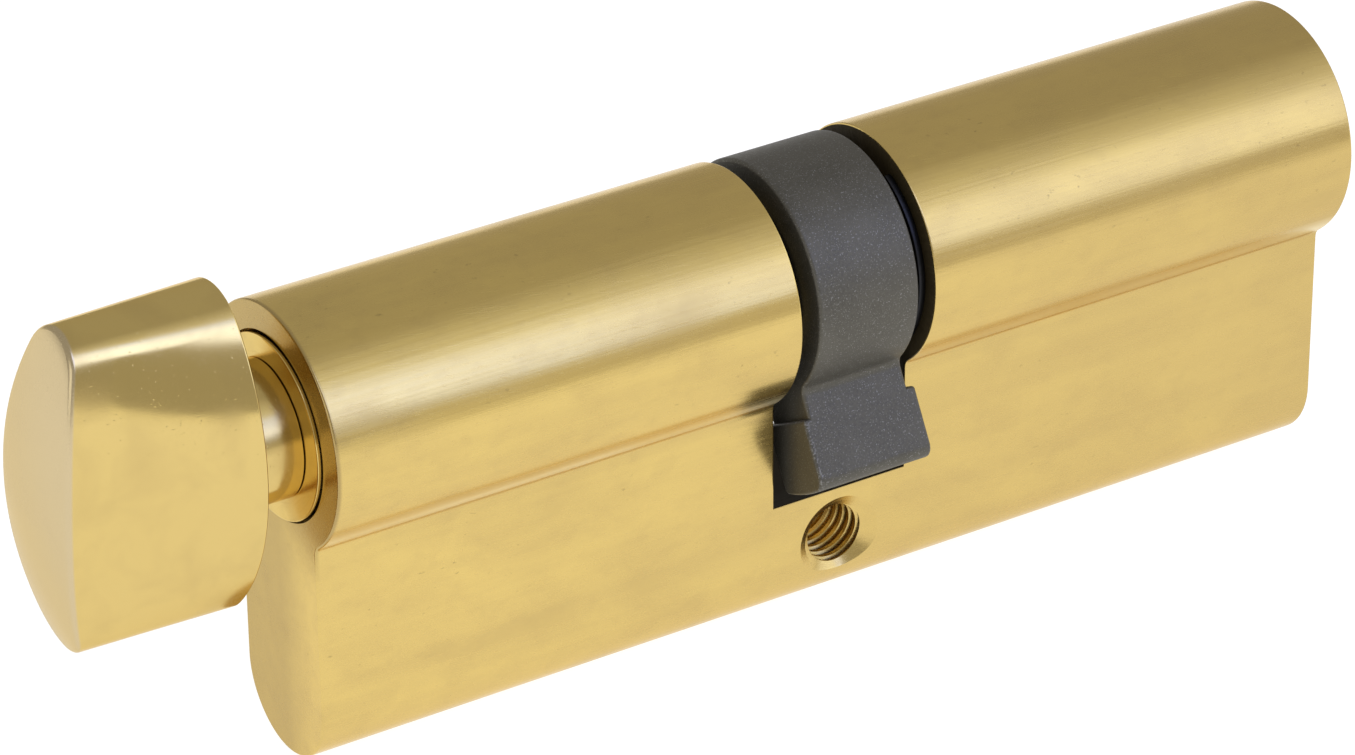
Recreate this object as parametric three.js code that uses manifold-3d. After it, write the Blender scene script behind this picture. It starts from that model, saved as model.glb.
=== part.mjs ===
// Euro profile lock cylinder: a keyed half, a thumbturn half and a cam between them.
//
// Units are millimetres. +X runs along the plug axis from the thumbturn to the key side and +Z is
// up, so the flange hangs down along -Z. The origin is on the plug axis, above the fixing screw.

import * as THREE from "three";
import { mergeVertices } from "three/addons/utils/BufferGeometryUtils.js";
import Module from "manifold-3d";

// ---- Driving dimensions -------------------------------------------------------------------------

// Euro profile housing
const barrelRadius = 8.5;
const flangeWidth = 10;
const profileHeight = 33; // top of the barrel to the bottom of the flange
const keyLength = 40.5; // fixing screw to the key end face
const turnLength = 40.5; // fixing screw to the thumbturn end face
const recessWidth = 10.6; // gap that the cam turns in
const screwHoleRadius = 2.2; // tapped M5
const screwWall = 0.95; // left between the screw hole and the cam recess
const screwSinkRadius = 3.15;

// Plugs
const plugRadius = 6.1;
const headStep = 0.3; // from the shank out to the head, radially
const headLength = 1.5;
const headProud = 0.3; // how far a plug head stands out of its end face
const keywayTop = 4;
const keywayBottom = -4.4;
const keywayWidth = 2.3;
const wardDepth = 0.95;
const wardHeight = 1.8;
const wardSlope = 0.4;
const wardInset = 2.2; // keyway top to the upper ward
const wardSpacing = 0.8; // between the two wards, along the height

// Cam
const camRadius = 8.36;
const camShift = 0.2; // the cam lies this far towards the key side
const camBoreRadius = 4.6;
const camEdge = 0.4;
const leverReach = 15;
const leverThickness = 5.1;
const bitStart = 10.3; // distance from the plug axis at which the lever widens into its bit
const bitSideGap = 0.78; // on average, between the bit and each side of the recess
const bitCornerRadius = 0.9;
const neckSink = 1.5; // how far the lever's neck is buried in the ring
const neckInset = 0.15; // from each face of the ring to the lever's neck
const leverAngle = THREE.MathUtils.degToRad(29); // from straight down, towards -Y
const leverClearance = 0.75; // between the lever's path and the housing

// Clutch inside the cam
const clutchSpace = 1.9; // between the two halves
const clutchWeb = 0.5; // left between a half's two pockets
const wingWidth = 2.4;
const wingReach = 5.9;
const tongueWidth = 2.4;
const tongueInset = 0.65; // from the clutch's rim to the tongue's end
const driveSlotDepth = 1.2;
const springPocketRadius = 1.9;
const clutchCoilRadius = 1.45;
const clutchWireRadius = 0.2;
const clutchTurns = 4;

// Circlips
const circlipThickness = 0.5;
const circlipRadialWidth = 1.75;
const circlipSpace = 0.75; // between a circlip and the cam, on average, with the circlip's own play
const grooveDepth = 0.5;
const circlipOpening = THREE.MathUtils.degToRad(50);
const eyeletRadius = 0.4;
const eyeletAngle = 0.11;

// Thumbturn
const knobHeight = 24;
const knobBackWidth = 13.84;
const knobFrontWidth = 9.1;
const knobBackEndRadius = 3.24; // rounding of the outline's two ends, at the back
const knobFrontEndRadius = 2.38;
const knobLength = 13.45; // back face to the middle of the domed front
const knobGap = 4.1; // end face to the back of the knob
const knobDomeRadiusTall = 32;
const knobDomeRadiusWide = 22;
const knobEdge = 0.35;
const neckRadius = 4.73;
const spindleRadius = 3;
const spindleLength = 10;
const spindleFlatDepth = 0.6;
const knobTurn = THREE.MathUtils.degToRad(4.6); // how far the knob stands off upright
const grubScrewRadius = 1.5;
const grubSocketRadius = 0.85;
const grubSocketDepth = 1;
const grubScrewInset = 0.2; // how far the screw lies below the neck's surface

// Pin stacks
const pinPitch = 4;
const firstPinInset = 6; // key end face to the first pin
const pinRadius = 1.45;
const keyPinLengths = [2.3, 3.8, 3.0, 4.5, 2.7];
const pinTipRadius = 0.5;
const pinChamfer = 0.4;
const pinStopRise = 0.6; // how far the longest key pin can rise in the plug
const driverLength = 5.5;
const driverWaistDepth = 0.4;
const driverRim = 1.1;
const springWireRadius = 0.17;
const springTurns = 8;
const springSideGap = 0.16; // from a spring to the surface of its pin
const chamberPlugLength = 3;
const chamberPlugInset = 0.3;

// Clearances
const runningFit = 0.05; // radial, between turning pieces
const slidingFit = 0.1; // radial, between sliding pieces
const facing = 0.05; // between faces that rest on each other
const pressGap = 0.02; // radial, around the chamber plugs
const endGap = 0.2; // between a plug's inner end and the cam
const shearGap = 0.1; // from the plug's surface to the pins on each side of it

// Fineness
const roundSegments = 60; // around the plug axis
const middleSegments = 36; // around the neck, the spindle and the fixing screw hole
const smallSegments = 16; // around the pins
const coilSegments = 8; // in each turn of a spring
const overrun = 1; // how far a cutting tool runs past what it cuts

// ---- Derived places -----------------------------------------------------------------------------

const recessHalf = recessWidth / 2;
const keyFaceX = keyLength + headProud;
const turnFaceX = -turnLength - headProud;
const flangeHalf = flangeWidth / 2;
const flangeBottom = barrelRadius - profileHeight;
const recessRadius = leverReach + leverClearance;
const screwDrop = recessRadius + screwWall + screwHoleRadius;
const headRadius = plugRadius + headStep;
const grooveRadius = plugRadius - grooveDepth;
const plugBoreRadius = plugRadius + runningFit;
const headBoreRadius = headRadius + runningFit;
const headBoreDepth = headLength - headProud + facing;
const camWidth = recessWidth - 2 * (circlipThickness + circlipSpace);
const bitWidth = recessWidth - 2 * bitSideGap;
const camTurnX = camShift - camWidth / 2;
const camKeyX = camShift + camWidth / 2;
const turnPlugInnerX = camTurnX - endGap;
const keyPlugInnerX = camKeyX + endGap;
const knobBackX = -turnLength - knobGap;
const knobFrontX = knobBackX - knobLength;
const grubScrewX = (knobBackX - turnLength - headProud) / 2;
const clutchRadius = camBoreRadius - runningFit;
const clutchThickness = (camWidth - clutchSpace) / 2 - slidingFit;
const springPocketDepth = clutchThickness - driveSlotDepth - clutchWeb;
const tongueLength = 2 * (clutchRadius - tongueInset);
const turnClutchX = camTurnX + slidingFit;
const keyClutchX = camKeyX - slidingFit - clutchThickness;
const pinBoreRadius = pinRadius + slidingFit;
const keyPinBottom = -plugRadius + shearGap;
const pinBoreTop = keyPinBottom + Math.max(...keyPinLengths) + pinStopRise;
const driverTop = -plugRadius - shearGap;
const driverBottom = driverTop - driverLength;
const driverWaistRadius = pinRadius - driverWaistDepth;
const springCoilRadius = pinRadius - springSideGap - springWireRadius;
const chamberPlugBottom = flangeBottom + chamberPlugInset;
const chamberPlugTop = chamberPlugBottom + chamberPlugLength;
const pinX = keyPinLengths.map((_, i) => keyLength - firstPinInset - i * pinPitch);

// ---- Materials ----------------------------------------------------------------------------------

const finishes = {
  satinBrass: { color: 0xb89a5e, roughness: 0.38, metalness: 1 },
  polishedBrass: { color: 0xc9a765, roughness: 0.25, metalness: 1 },
  sinteredSteel: { color: 0x4b4a48, roughness: 0.6, metalness: 0.9 },
  nickelSilver: { color: 0xb9b5a6, roughness: 0.3, metalness: 1 },
  springSteel: { color: 0x8f9296, roughness: 0.3, metalness: 1 },
  blackenedSteel: { color: 0x2f3032, roughness: 0.45, metalness: 1 },
};

// ---- Solids -------------------------------------------------------------------------------------

const wasm = await Module();
wasm.setup();

function solidFrom(geometry) {
  const bare = geometry.clone();
  bare.deleteAttribute("normal");
  bare.deleteAttribute("uv");
  const merged = mergeVertices(bare);
  const index = merged.index.array;
  const triangles = [];
  for (let i = 0; i < index.length; i += 3) {
    const [a, b, c] = index.slice(i, i + 3);
    if (a !== b && b !== c && c !== a) triangles.push(a, b, c);
  }
  const vertProperties = new Float32Array(merged.attributes.position.array);
  const triVerts = new Uint32Array(triangles);
  return new wasm.Manifold(new wasm.Mesh({ numProp: 3, vertProperties, triVerts }));
}

function meshOf(name, finish, solid) {
  const { vertProperties, triVerts } = solid.getMesh();
  const geometry = new THREE.BufferGeometry();
  geometry.setAttribute("position", new THREE.BufferAttribute(vertProperties, 3));
  geometry.setIndex(new THREE.BufferAttribute(triVerts, 1));
  geometry.computeVertexNormals();
  const mesh = new THREE.Mesh(geometry, new THREE.MeshStandardMaterial(finishes[finish]));
  mesh.name = name;
  return mesh;
}

// Profiles are lists of [radius, height] that rise along the axis they are turned about.
function turned(profile, segments) {
  return new THREE.LatheGeometry(profile.map(([r, h]) => new THREE.Vector2(r, h)), segments);
}

function turnedAlongX(profile, segments = roundSegments) {
  return solidFrom(turned(profile, segments).rotateZ(-Math.PI / 2));
}

function turnedAlongY(profile, z, segments) {
  return solidFrom(turned(profile, segments).translate(0, 0, z));
}

function turnedAlongZ(profile, x, segments = smallSegments) {
  return solidFrom(turned(profile, segments).rotateX(Math.PI / 2).translate(x, 0, 0));
}

function rod(radius, from, to) {
  return [[0, from], [radius, from], [radius, to], [0, to]];
}

// The same profile seen from the other end of its axis.
function flipped(profile) {
  return profile.map(([r, h]) => [r, -h]).reverse();
}

// A shape drawn in the YZ plane, pushed along X.
function extrudedAlongX(shape, from, to, curveSegments = 12) {
  const options = { depth: to - from, bevelEnabled: false, curveSegments };
  const upright = new THREE.Matrix4().set(0, 0, 1, from, 1, 0, 0, 0, 0, 1, 0, 0, 0, 0, 0, 1);
  return solidFrom(new THREE.ExtrudeGeometry(shape, options).applyMatrix4(upright));
}

// A box between two X places, centred on Y, turned about the X axis.
function bar(fromX, toX, width, fromZ, toZ, turn = 0) {
  const block = new THREE.BoxGeometry(toX - fromX, width, toZ - fromZ);
  return solidFrom(block.translate((fromX + toX) / 2, 0, (fromZ + toZ) / 2).rotateX(turn));
}

class Coil extends THREE.Curve {
  constructor(radius, length, turns) {
    super();
    Object.assign(this, { radius, length, turns });
  }

  getPoint(t, target = new THREE.Vector3()) {
    const angle = 2 * Math.PI * this.turns * t;
    return target.set(this.radius * Math.cos(angle), this.radius * Math.sin(angle), this.length * t);
  }
}

// A coil spring that rises along +Z from 0 to its full length.
function coilSpring(coilRadius, wireRadius, length, turns) {
  const wire = new THREE.Shape().absarc(0, 0, wireRadius, 0, 2 * Math.PI);
  const extrudePath = new Coil(coilRadius, length - 2 * wireRadius - facing, turns);
  const options = { steps: turns * coilSegments, extrudePath, bevelEnabled: false, curveSegments: 3 };
  return new THREE.ExtrudeGeometry(wire, options).translate(0, 0, wireRadius + facing / 2);
}

// A skin over rings that all have the same number of points, closed by a point at each end.
function loft(firstPoint, rings, lastPoint) {
  const count = rings[0].length;
  const points = [firstPoint, ...rings.flat(), lastPoint];
  const index = [];
  for (let i = 0; i < count; i += 1) {
    const next = (i + 1) % count;
    index.push(0, 1 + i, 1 + next);
    for (let ring = 0; ring < rings.length - 1; ring += 1) {
      const near = 1 + ring * count;
      const far = near + count;
      index.push(near + i, far + i, near + next, near + next, far + i, far + next);
    }
    const last = 1 + (rings.length - 1) * count;
    index.push(last + i, points.length - 1, last + next);
  }
  return new THREE.BufferGeometry().setFromPoints(points).setIndex(index);
}

// ---- Housing ------------------------------------------------------------------------------------

function euroProfile() {
  const crease = Math.asin(flangeHalf / barrelRadius);
  const shape = new THREE.Shape();
  shape.absarc(0, 0, barrelRadius, crease - Math.PI / 2, 1.5 * Math.PI - crease);
  shape.absarc(0, flangeBottom + flangeHalf, flangeHalf, Math.PI, 2 * Math.PI);
  shape.closePath();
  return shape;
}

// The bore of one half, as a profile from the cam recess out past an end face.
function plugBore(endX) {
  return [
    [0, 0],
    [plugBoreRadius, 0],
    [plugBoreRadius, endX - headBoreDepth],
    [headBoreRadius, endX - headBoreDepth],
    [headBoreRadius, endX + overrun],
    [0, endX + overrun],
  ];
}

function fixingScrewHole() {
  const sinkDepth = screwSinkRadius - screwHoleRadius;
  const outer = flangeHalf + overrun;
  const profile = [
    [0, -outer],
    [screwSinkRadius + overrun, -outer],
    [screwHoleRadius, sinkDepth - flangeHalf],
    [screwHoleRadius, flangeHalf - sinkDepth],
    [screwSinkRadius + overrun, outer],
    [0, outer],
  ];
  return turnedAlongY(profile, -screwDrop, middleSegments);
}

function cylinderBody() {
  const cuts = [
    turnedAlongX(rod(recessRadius, -recessHalf, recessHalf), 1.6 * roundSegments),
    turnedAlongX(plugBore(keyLength)),
    turnedAlongX(flipped(plugBore(turnLength))),
    fixingScrewHole(),
    ...pinX.map((x) => turnedAlongZ(rod(pinBoreRadius, flangeBottom - overrun, 0), x)),
  ];
  const blank = extrudedAlongX(euroProfile(), -turnLength, keyLength, roundSegments / 3);
  return cuts.reduce((body, cut) => body.subtract(cut), blank);
}

// ---- Plugs --------------------------------------------------------------------------------------

// A plug's profile as on the key side: inner end, circlip groove, shank and head.
function plugProfile(innerX, faceX) {
  const grooveX = recessHalf - circlipThickness - 2 * facing;
  return [
    [0, innerX],
    [plugRadius, innerX],
    [plugRadius, grooveX],
    [grooveRadius, grooveX],
    [grooveRadius, recessHalf],
    [plugRadius, recessHalf],
    [plugRadius, faceX - headLength],
    [headRadius, faceX - headLength],
    [headRadius, faceX],
    [0, faceX],
  ];
}

function keywayShape() {
  const half = keywayWidth / 2;
  const inner = half - wardDepth;
  const leftTop = keywayTop - wardInset;
  const leftEnd = leftTop - wardHeight;
  const rightTop = leftEnd - wardSpacing;
  const rightEnd = rightTop - wardHeight;
  const outline = [
    [-half, keywayTop],
    [-half, leftTop],
    [-inner, leftTop - wardSlope],
    [-inner, leftEnd + wardSlope],
    [-half, leftEnd],
    [-half, keywayBottom],
    [half, keywayBottom],
    [half, rightEnd],
    [inner, rightEnd + wardSlope],
    [inner, rightTop - wardSlope],
    [half, rightTop],
    [half, keywayTop],
  ];
  return new THREE.Shape(outline.map(([y, z]) => new THREE.Vector2(y, z)));
}

function keyPlug() {
  const shoulder = pinBoreTop - pinBoreRadius + pinTipRadius;
  const pinBore = [
    [0, -barrelRadius],
    [pinBoreRadius, -barrelRadius],
    [pinBoreRadius, shoulder],
    [pinTipRadius, pinBoreTop],
    [0, pinBoreTop],
  ];
  const cuts = [
    extrudedAlongX(keywayShape(), keyPlugInnerX - overrun, keyFaceX + overrun),
    ...pinX.map((x) => turnedAlongZ(pinBore, x)),
  ];
  const blank = turnedAlongX(plugProfile(keyPlugInnerX, keyFaceX));
  return cuts.reduce((plug, cut) => plug.subtract(cut), blank);
}

function thumbturnPlug() {
  const shank = turnedAlongX(flipped(plugProfile(-turnPlugInnerX, -turnFaceX)));
  const spindleEnd = turnFaceX - spindleLength;
  const spindle = turnedAlongX(rod(spindleRadius, spindleEnd, turnFaceX + overrun), middleSegments);
  const flat = bar(
    spindleEnd - overrun,
    turnFaceX - facing,
    3 * spindleRadius,
    -2 * spindleRadius,
    spindleFlatDepth - spindleRadius,
    knobTurn,
  );
  const tongue = bar(
    turnPlugInnerX - overrun,
    turnClutchX + driveSlotDepth - facing,
    tongueWidth,
    -tongueLength / 2,
    tongueLength / 2,
    -leverAngle,
  );
  return shank.add(spindle.subtract(flat)).add(tongue);
}

// An open ring with two eyelets that stands in a plug's groove, between two X places.
function circlip(from, to) {
  const innerRadius = grooveRadius + facing;
  const outerRadius = innerRadius + circlipRadialWidth;
  const middle = (outerRadius + innerRadius) / 2;
  const start = (Math.PI + circlipOpening) / 2;
  const end = start + 2 * Math.PI - circlipOpening;
  const shape = new THREE.Shape();
  shape.absarc(0, 0, outerRadius, start, end);
  shape.absarc(0, 0, innerRadius, end, start, true);
  shape.closePath();
  shape.holes = [start + eyeletAngle, end - eyeletAngle].map((angle) => {
    const y = middle * Math.cos(angle);
    const z = middle * Math.sin(angle);
    return new THREE.Path().absarc(y, z, eyeletRadius, 0, 2 * Math.PI);
  });
  return extrudedAlongX(shape, from, to, 14);
}

// ---- Cam and clutch, drawn with the lever straight down -----------------------------------------

function camRing() {
  const profile = [
    [camBoreRadius, camTurnX],
    [camRadius - camEdge, camTurnX],
    [camRadius, camTurnX + camEdge],
    [camRadius, camKeyX - camEdge],
    [camRadius - camEdge, camKeyX],
    [camBoreRadius, camKeyX],
    [camBoreRadius, camTurnX],
  ];
  return turnedAlongX(profile);
}

// The lever's outline in the YZ plane: straight flanks from one radius out to a rounded tip.
function leverShape(fromRadius) {
  const half = leverThickness / 2;
  const corner = bitCornerRadius;
  const tipAngle = Math.asin((half - corner) / (leverReach - corner));
  const cornerZ = -(leverReach - corner) * Math.cos(tipAngle);
  const down = 1.5 * Math.PI;
  const shape = new THREE.Shape();
  shape.moveTo(-half, -fromRadius);
  shape.absarc(corner - half, cornerZ, corner, Math.PI, down - tipAngle);
  shape.absarc(0, 0, leverReach, down - tipAngle, down + tipAngle);
  shape.absarc(half - corner, cornerZ, corner, down + tipAngle, 2 * Math.PI);
  shape.lineTo(half, -fromRadius);
  shape.closePath();
  return shape;
}

function cam() {
  const neckShape = leverShape(camRadius - neckSink);
  const neck = extrudedAlongX(neckShape, camTurnX + neckInset, camKeyX - neckInset, 4);
  const bit = extrudedAlongX(leverShape(bitStart), camShift - bitWidth / 2, camShift + bitWidth / 2, 4);
  const wingSlot = bar(
    camTurnX - overrun,
    camKeyX + overrun,
    wingWidth + slidingFit,
    -wingReach - slidingFit,
    0,
  );
  return camRing().add(neck).add(bit).subtract(wingSlot);
}

// One half of the clutch: a disc with a wing in the cam's slot, a drive slot cut in from outerX and
// a spring pocket cut in from innerX.
function clutchHalf(innerX, outerX) {
  const outward = Math.sign(outerX - innerX);
  const between = (a, b) => [Math.min(a, b), Math.max(a, b)];
  const disc = turnedAlongX(rod(clutchRadius, ...between(innerX, outerX)));
  const wing = bar(...between(innerX, outerX), wingWidth, -wingReach, 0);
  const slot = bar(
    ...between(outerX - outward * driveSlotDepth, outerX + outward * overrun),
    tongueWidth + slidingFit,
    -tongueLength / 2 - slidingFit,
    tongueLength / 2 + slidingFit,
  );
  const pocketX = between(innerX - outward * overrun, innerX + outward * springPocketDepth);
  const pocket = turnedAlongX(rod(springPocketRadius, ...pocketX), smallSegments);
  return disc.add(wing).subtract(slot).subtract(pocket);
}

function clutchSpring() {
  const from = turnClutchX + clutchThickness - springPocketDepth;
  const to = keyClutchX + springPocketDepth;
  const coil = coilSpring(clutchCoilRadius, clutchWireRadius, to - from, clutchTurns);
  return solidFrom(coil.rotateY(Math.PI / 2).translate(from, 0, 0));
}

// ---- Thumbturn knob, drawn upright --------------------------------------------------------------

// The outline of a pointed oval: two long flank arcs joined by two small end arcs.
function ovalShape(halfHeight, halfWidth, endRadius) {
  const flankRadius =
    (halfWidth ** 2 + halfHeight ** 2 - 2 * halfHeight * endRadius) / (2 * (halfWidth - endRadius));
  const flankCentre = flankRadius - halfWidth;
  const endCentre = halfHeight - endRadius;
  const reach = Math.atan2(endCentre, flankCentre);
  const shape = new THREE.Shape();
  shape.absarc(-flankCentre, 0, flankRadius, -reach, reach);
  shape.absarc(0, endCentre, endRadius, reach, Math.PI - reach);
  shape.absarc(flankCentre, 0, flankRadius, Math.PI - reach, Math.PI + reach);
  shape.absarc(0, -endCentre, endRadius, Math.PI + reach, 2 * Math.PI - reach);
  return shape;
}

function knobRing(width, endRadius, scale, placeX) {
  const outline = ovalShape(knobHeight / 2, width / 2, endRadius).getPoints(7).slice(0, -1);
  return outline.map(({ x: y, y: z }) => {
    const point = new THREE.Vector3(0, y * scale, z * scale);
    point.x = placeX(point);
    return point;
  });
}

// The height of the domed front over a point of the oval.
function knobDomeX({ y, z }) {
  return knobFrontX + z ** 2 / (2 * knobDomeRadiusTall) + y ** 2 / (2 * knobDomeRadiusWide);
}

function knobHead() {
  const edgeScale = 1 - (2 * knobEdge) / knobFrontWidth;
  const rings = [
    knobRing(knobBackWidth, knobBackEndRadius, 1, () => knobBackX),
    knobRing(knobFrontWidth, knobFrontEndRadius, 1, (p) => knobDomeX(p) + knobEdge),
    knobRing(knobFrontWidth, knobFrontEndRadius, edgeScale, knobDomeX),
    knobRing(knobFrontWidth, knobFrontEndRadius, 0.75, knobDomeX),
    knobRing(knobFrontWidth, knobFrontEndRadius, 0.5, knobDomeX),
    knobRing(knobFrontWidth, knobFrontEndRadius, 0.25, knobDomeX),
  ];
  const backMiddle = new THREE.Vector3(knobBackX, 0, 0);
  const frontMiddle = new THREE.Vector3(knobFrontX, 0, 0);
  return solidFrom(loft(backMiddle, rings, frontMiddle));
}

function thumbturnKnob() {
  const neckEnd = turnFaceX - facing;
  const neck = turnedAlongX(rod(neckRadius, knobBackX - overrun, neckEnd), middleSegments);
  const boreEnd = turnFaceX - spindleLength - 2 * facing;
  const bore = turnedAlongX(rod(spindleRadius + facing, boreEnd, neckEnd + overrun), middleSegments);
  const screwHole = rod(grubScrewRadius + facing, -neckRadius - overrun, 0);
  return knobHead().add(neck).subtract(bore).subtract(turnedAlongZ(screwHole, grubScrewX));
}

function grubScrew() {
  const tip = spindleFlatDepth - spindleRadius - facing;
  const outer = -neckRadius + grubScrewInset;
  const screw = turnedAlongZ(rod(grubScrewRadius, outer, tip), grubScrewX);
  const socket = rod(grubSocketRadius, outer - overrun, outer + grubSocketDepth);
  return screw.subtract(turnedAlongZ(socket, grubScrewX, 6));
}

// ---- Pin stacks ---------------------------------------------------------------------------------

function keyPin(x, length) {
  const tip = keyPinBottom + length;
  const profile = [
    [0, keyPinBottom],
    [pinRadius - pinChamfer, keyPinBottom],
    [pinRadius, keyPinBottom + pinChamfer],
    [pinRadius, tip - pinRadius + pinTipRadius],
    [pinTipRadius, tip],
    [0, tip],
  ];
  return turnedAlongZ(profile, x);
}

// A spool-shaped driver, with a waist between two rims.
function driverPin(x) {
  const profile = [
    [0, driverBottom],
    [pinRadius, driverBottom],
    [pinRadius, driverBottom + driverRim],
    [driverWaistRadius, driverBottom + driverRim + pinRadius - driverWaistRadius],
    [driverWaistRadius, driverTop - driverRim - pinRadius + driverWaistRadius],
    [pinRadius, driverTop - driverRim],
    [pinRadius, driverTop],
    [0, driverTop],
  ];
  return turnedAlongZ(profile, x);
}

function pinSpring(x) {
  const length = driverBottom - chamberPlugTop;
  const coil = coilSpring(springCoilRadius, springWireRadius, length, springTurns);
  return solidFrom(coil.translate(x, 0, chamberPlugTop));
}

function chamberPlug(x) {
  return turnedAlongZ(rod(pinBoreRadius - pressGap, chamberPlugBottom, chamberPlugTop), x);
}

// ---- Assembly -----------------------------------------------------------------------------------

const cylinder = new THREE.Group();
const housing = new THREE.Group();
const keySide = new THREE.Group();
const turnSide = new THREE.Group();
const camGroup = new THREE.Group();
const knobGroup = new THREE.Group();
camGroup.rotation.x = -leverAngle;
knobGroup.rotation.x = knobTurn;
cylinder.add(housing, keySide, turnSide, camGroup);
turnSide.add(knobGroup);

housing.add(meshOf("cylinder_body", "satinBrass", cylinderBody()));
pinX.forEach((x, i) => {
  housing.add(meshOf(`driver_pin_${i + 1}`, "nickelSilver", driverPin(x)));
  housing.add(meshOf(`pin_spring_${i + 1}`, "springSteel", pinSpring(x)));
  housing.add(meshOf(`chamber_plug_${i + 1}`, "satinBrass", chamberPlug(x)));
  keySide.add(meshOf(`key_pin_${i + 1}`, "nickelSilver", keyPin(x, keyPinLengths[i])));
});

const circlipOuterX = recessHalf - facing;
const circlipInnerX = circlipOuterX - circlipThickness;
keySide.add(meshOf("key_plug", "satinBrass", keyPlug()));
keySide.add(meshOf("circlip_key_side", "blackenedSteel", circlip(circlipInnerX, circlipOuterX)));
turnSide.add(meshOf("thumbturn_plug", "satinBrass", thumbturnPlug()));
turnSide.add(meshOf("circlip_turn_side", "blackenedSteel", circlip(-circlipOuterX, -circlipInnerX)));
knobGroup.add(meshOf("thumbturn_knob", "polishedBrass", thumbturnKnob()));
knobGroup.add(meshOf("knob_grub_screw", "blackenedSteel", grubScrew()));

const turnClutchInnerX = turnClutchX + clutchThickness;
const keyClutchOuterX = keyClutchX + clutchThickness;
camGroup.add(meshOf("cam", "sinteredSteel", cam()));
camGroup.add(meshOf("clutch_turn_side", "springSteel", clutchHalf(turnClutchInnerX, turnClutchX)));
camGroup.add(meshOf("clutch_key_side", "springSteel", clutchHalf(keyClutchX, keyClutchOuterX)));
camGroup.add(meshOf("clutch_spring", "springSteel", clutchSpring()));

export default cylinder;
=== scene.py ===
"""Euro profile lock cylinder with a thumbturn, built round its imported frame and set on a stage.

Every piece is drawn in millimetres and brought to metres when it is finished. +X runs along the
plug axis from the thumbturn to the key side, +Z is up, and the origin is on the plug axis.
"""

from itertools import pairwise
from math import asin, atan2, cos, degrees, hypot, pi, radians, sin

import bmesh
import bpy
from mathutils import Matrix, Vector


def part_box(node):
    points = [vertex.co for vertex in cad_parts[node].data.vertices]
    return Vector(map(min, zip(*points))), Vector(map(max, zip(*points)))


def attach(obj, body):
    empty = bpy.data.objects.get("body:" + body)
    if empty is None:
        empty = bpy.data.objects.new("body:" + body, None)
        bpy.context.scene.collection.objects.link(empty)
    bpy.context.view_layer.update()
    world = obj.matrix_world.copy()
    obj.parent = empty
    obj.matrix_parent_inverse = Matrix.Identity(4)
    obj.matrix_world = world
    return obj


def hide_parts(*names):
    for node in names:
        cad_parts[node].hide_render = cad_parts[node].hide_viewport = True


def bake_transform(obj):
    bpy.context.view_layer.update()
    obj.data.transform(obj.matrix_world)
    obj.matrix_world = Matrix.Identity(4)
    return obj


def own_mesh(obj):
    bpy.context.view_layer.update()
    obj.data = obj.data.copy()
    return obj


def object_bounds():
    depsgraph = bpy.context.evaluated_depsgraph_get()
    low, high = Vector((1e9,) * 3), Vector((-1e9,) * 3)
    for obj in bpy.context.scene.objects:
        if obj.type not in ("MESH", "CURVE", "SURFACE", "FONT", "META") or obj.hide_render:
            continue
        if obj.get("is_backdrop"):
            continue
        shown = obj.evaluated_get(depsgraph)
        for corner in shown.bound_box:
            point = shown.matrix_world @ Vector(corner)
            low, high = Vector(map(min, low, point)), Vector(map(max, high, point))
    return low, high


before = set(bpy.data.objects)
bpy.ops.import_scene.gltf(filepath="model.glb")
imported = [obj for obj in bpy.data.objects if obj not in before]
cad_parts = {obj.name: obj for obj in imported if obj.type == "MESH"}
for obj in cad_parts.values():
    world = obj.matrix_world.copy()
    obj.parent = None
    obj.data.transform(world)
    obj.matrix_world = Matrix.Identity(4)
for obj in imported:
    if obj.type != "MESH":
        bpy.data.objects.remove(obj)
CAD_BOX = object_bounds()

bl_info = {
    "name": "Euro profile lock cylinder",
    "version": (1, 0, 0),
    "blender": (4, 5, 0),
    "location": "3D View > Sidebar > Lock cylinder",
    "description": "Builds a euro profile lock cylinder with a thumbturn, piece by piece",
    "category": "Object",
}

MM = 0.001
BODY_LOW, BODY_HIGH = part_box("cylinder_body")

# ---- Sizes that stay as they are, in millimetres ----

SMALL = 1e-3
FIT = 0.05
EDGE = 0.12
BEYOND = 1  # how far a cutter runs past what it cuts
CLEAR = 9  # further from the axis than any plug or neck

SCREW_DROP = 18.9
SCREW_TAP_RADIUS = 2.1
SCREW_THREAD_RADIUS = 2.5
SCREW_PITCH = 0.8
SCREW_SINK_RADIUS = 3.15
SCREW_SINK_DEPTH = 0.7
TAP_LEAD = 1.5
TOOTH_ROOT, TOOTH_CREST = 0.35, 0.05
TOOTH_OVERLAP = 0.2
CREASE_HOLLOW = 0.4
CREASE_FOOT, CREASE_TOP = (-6.9, -6.4), (-4.6, -5.8)  # where the painted light band fades, on Z
CREASE_ALONG = -20, 20
CREASE_INSET = 0.2
# painted shade on the thumbturn's end face: how deep it reaches on X, and where it fades in on Z
# and on Y
SHADE_DEPTH = 0.3, 0.1
SHADE_ROUND_PLUG = -9.5, -5.5
SHADE_FAR_HALF = -3.8, 0
RECESS_RADIUS = 15.75
RECESS_REACH = RECESS_RADIUS + 0.03
RECESS_SKIN = 0.02
RECESS_RIM = 0.16

HEAD_STEP = 0.27
HEAD_GAP = 0.16
HEAD_LENGTH = 1.5
HEAD_PROUD = 0.3
HEAD_BORE_DEPTH = 1.25
PLUG_CLEARANCE = 0.05
GROOVE_RADIUS = 5.6
GROOVE_FROM, GROOVE_TO = 4.7, 5.3
TURN_PLUG_INNER, KEY_PLUG_INNER = -4.05, 4.45
SPINDLE_RADIUS = 3.0
SPINDLE_LENGTH = 10.0
SPINDLE_FLAT = 0.6
TONGUE_HALVES = 1.2, 3.9
TONGUE_END = -2.6
TONGUE_EDGE = 0.15
KEYWAY_HALF, KEYWAY_WARDED = 1.15, 0.2

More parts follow.
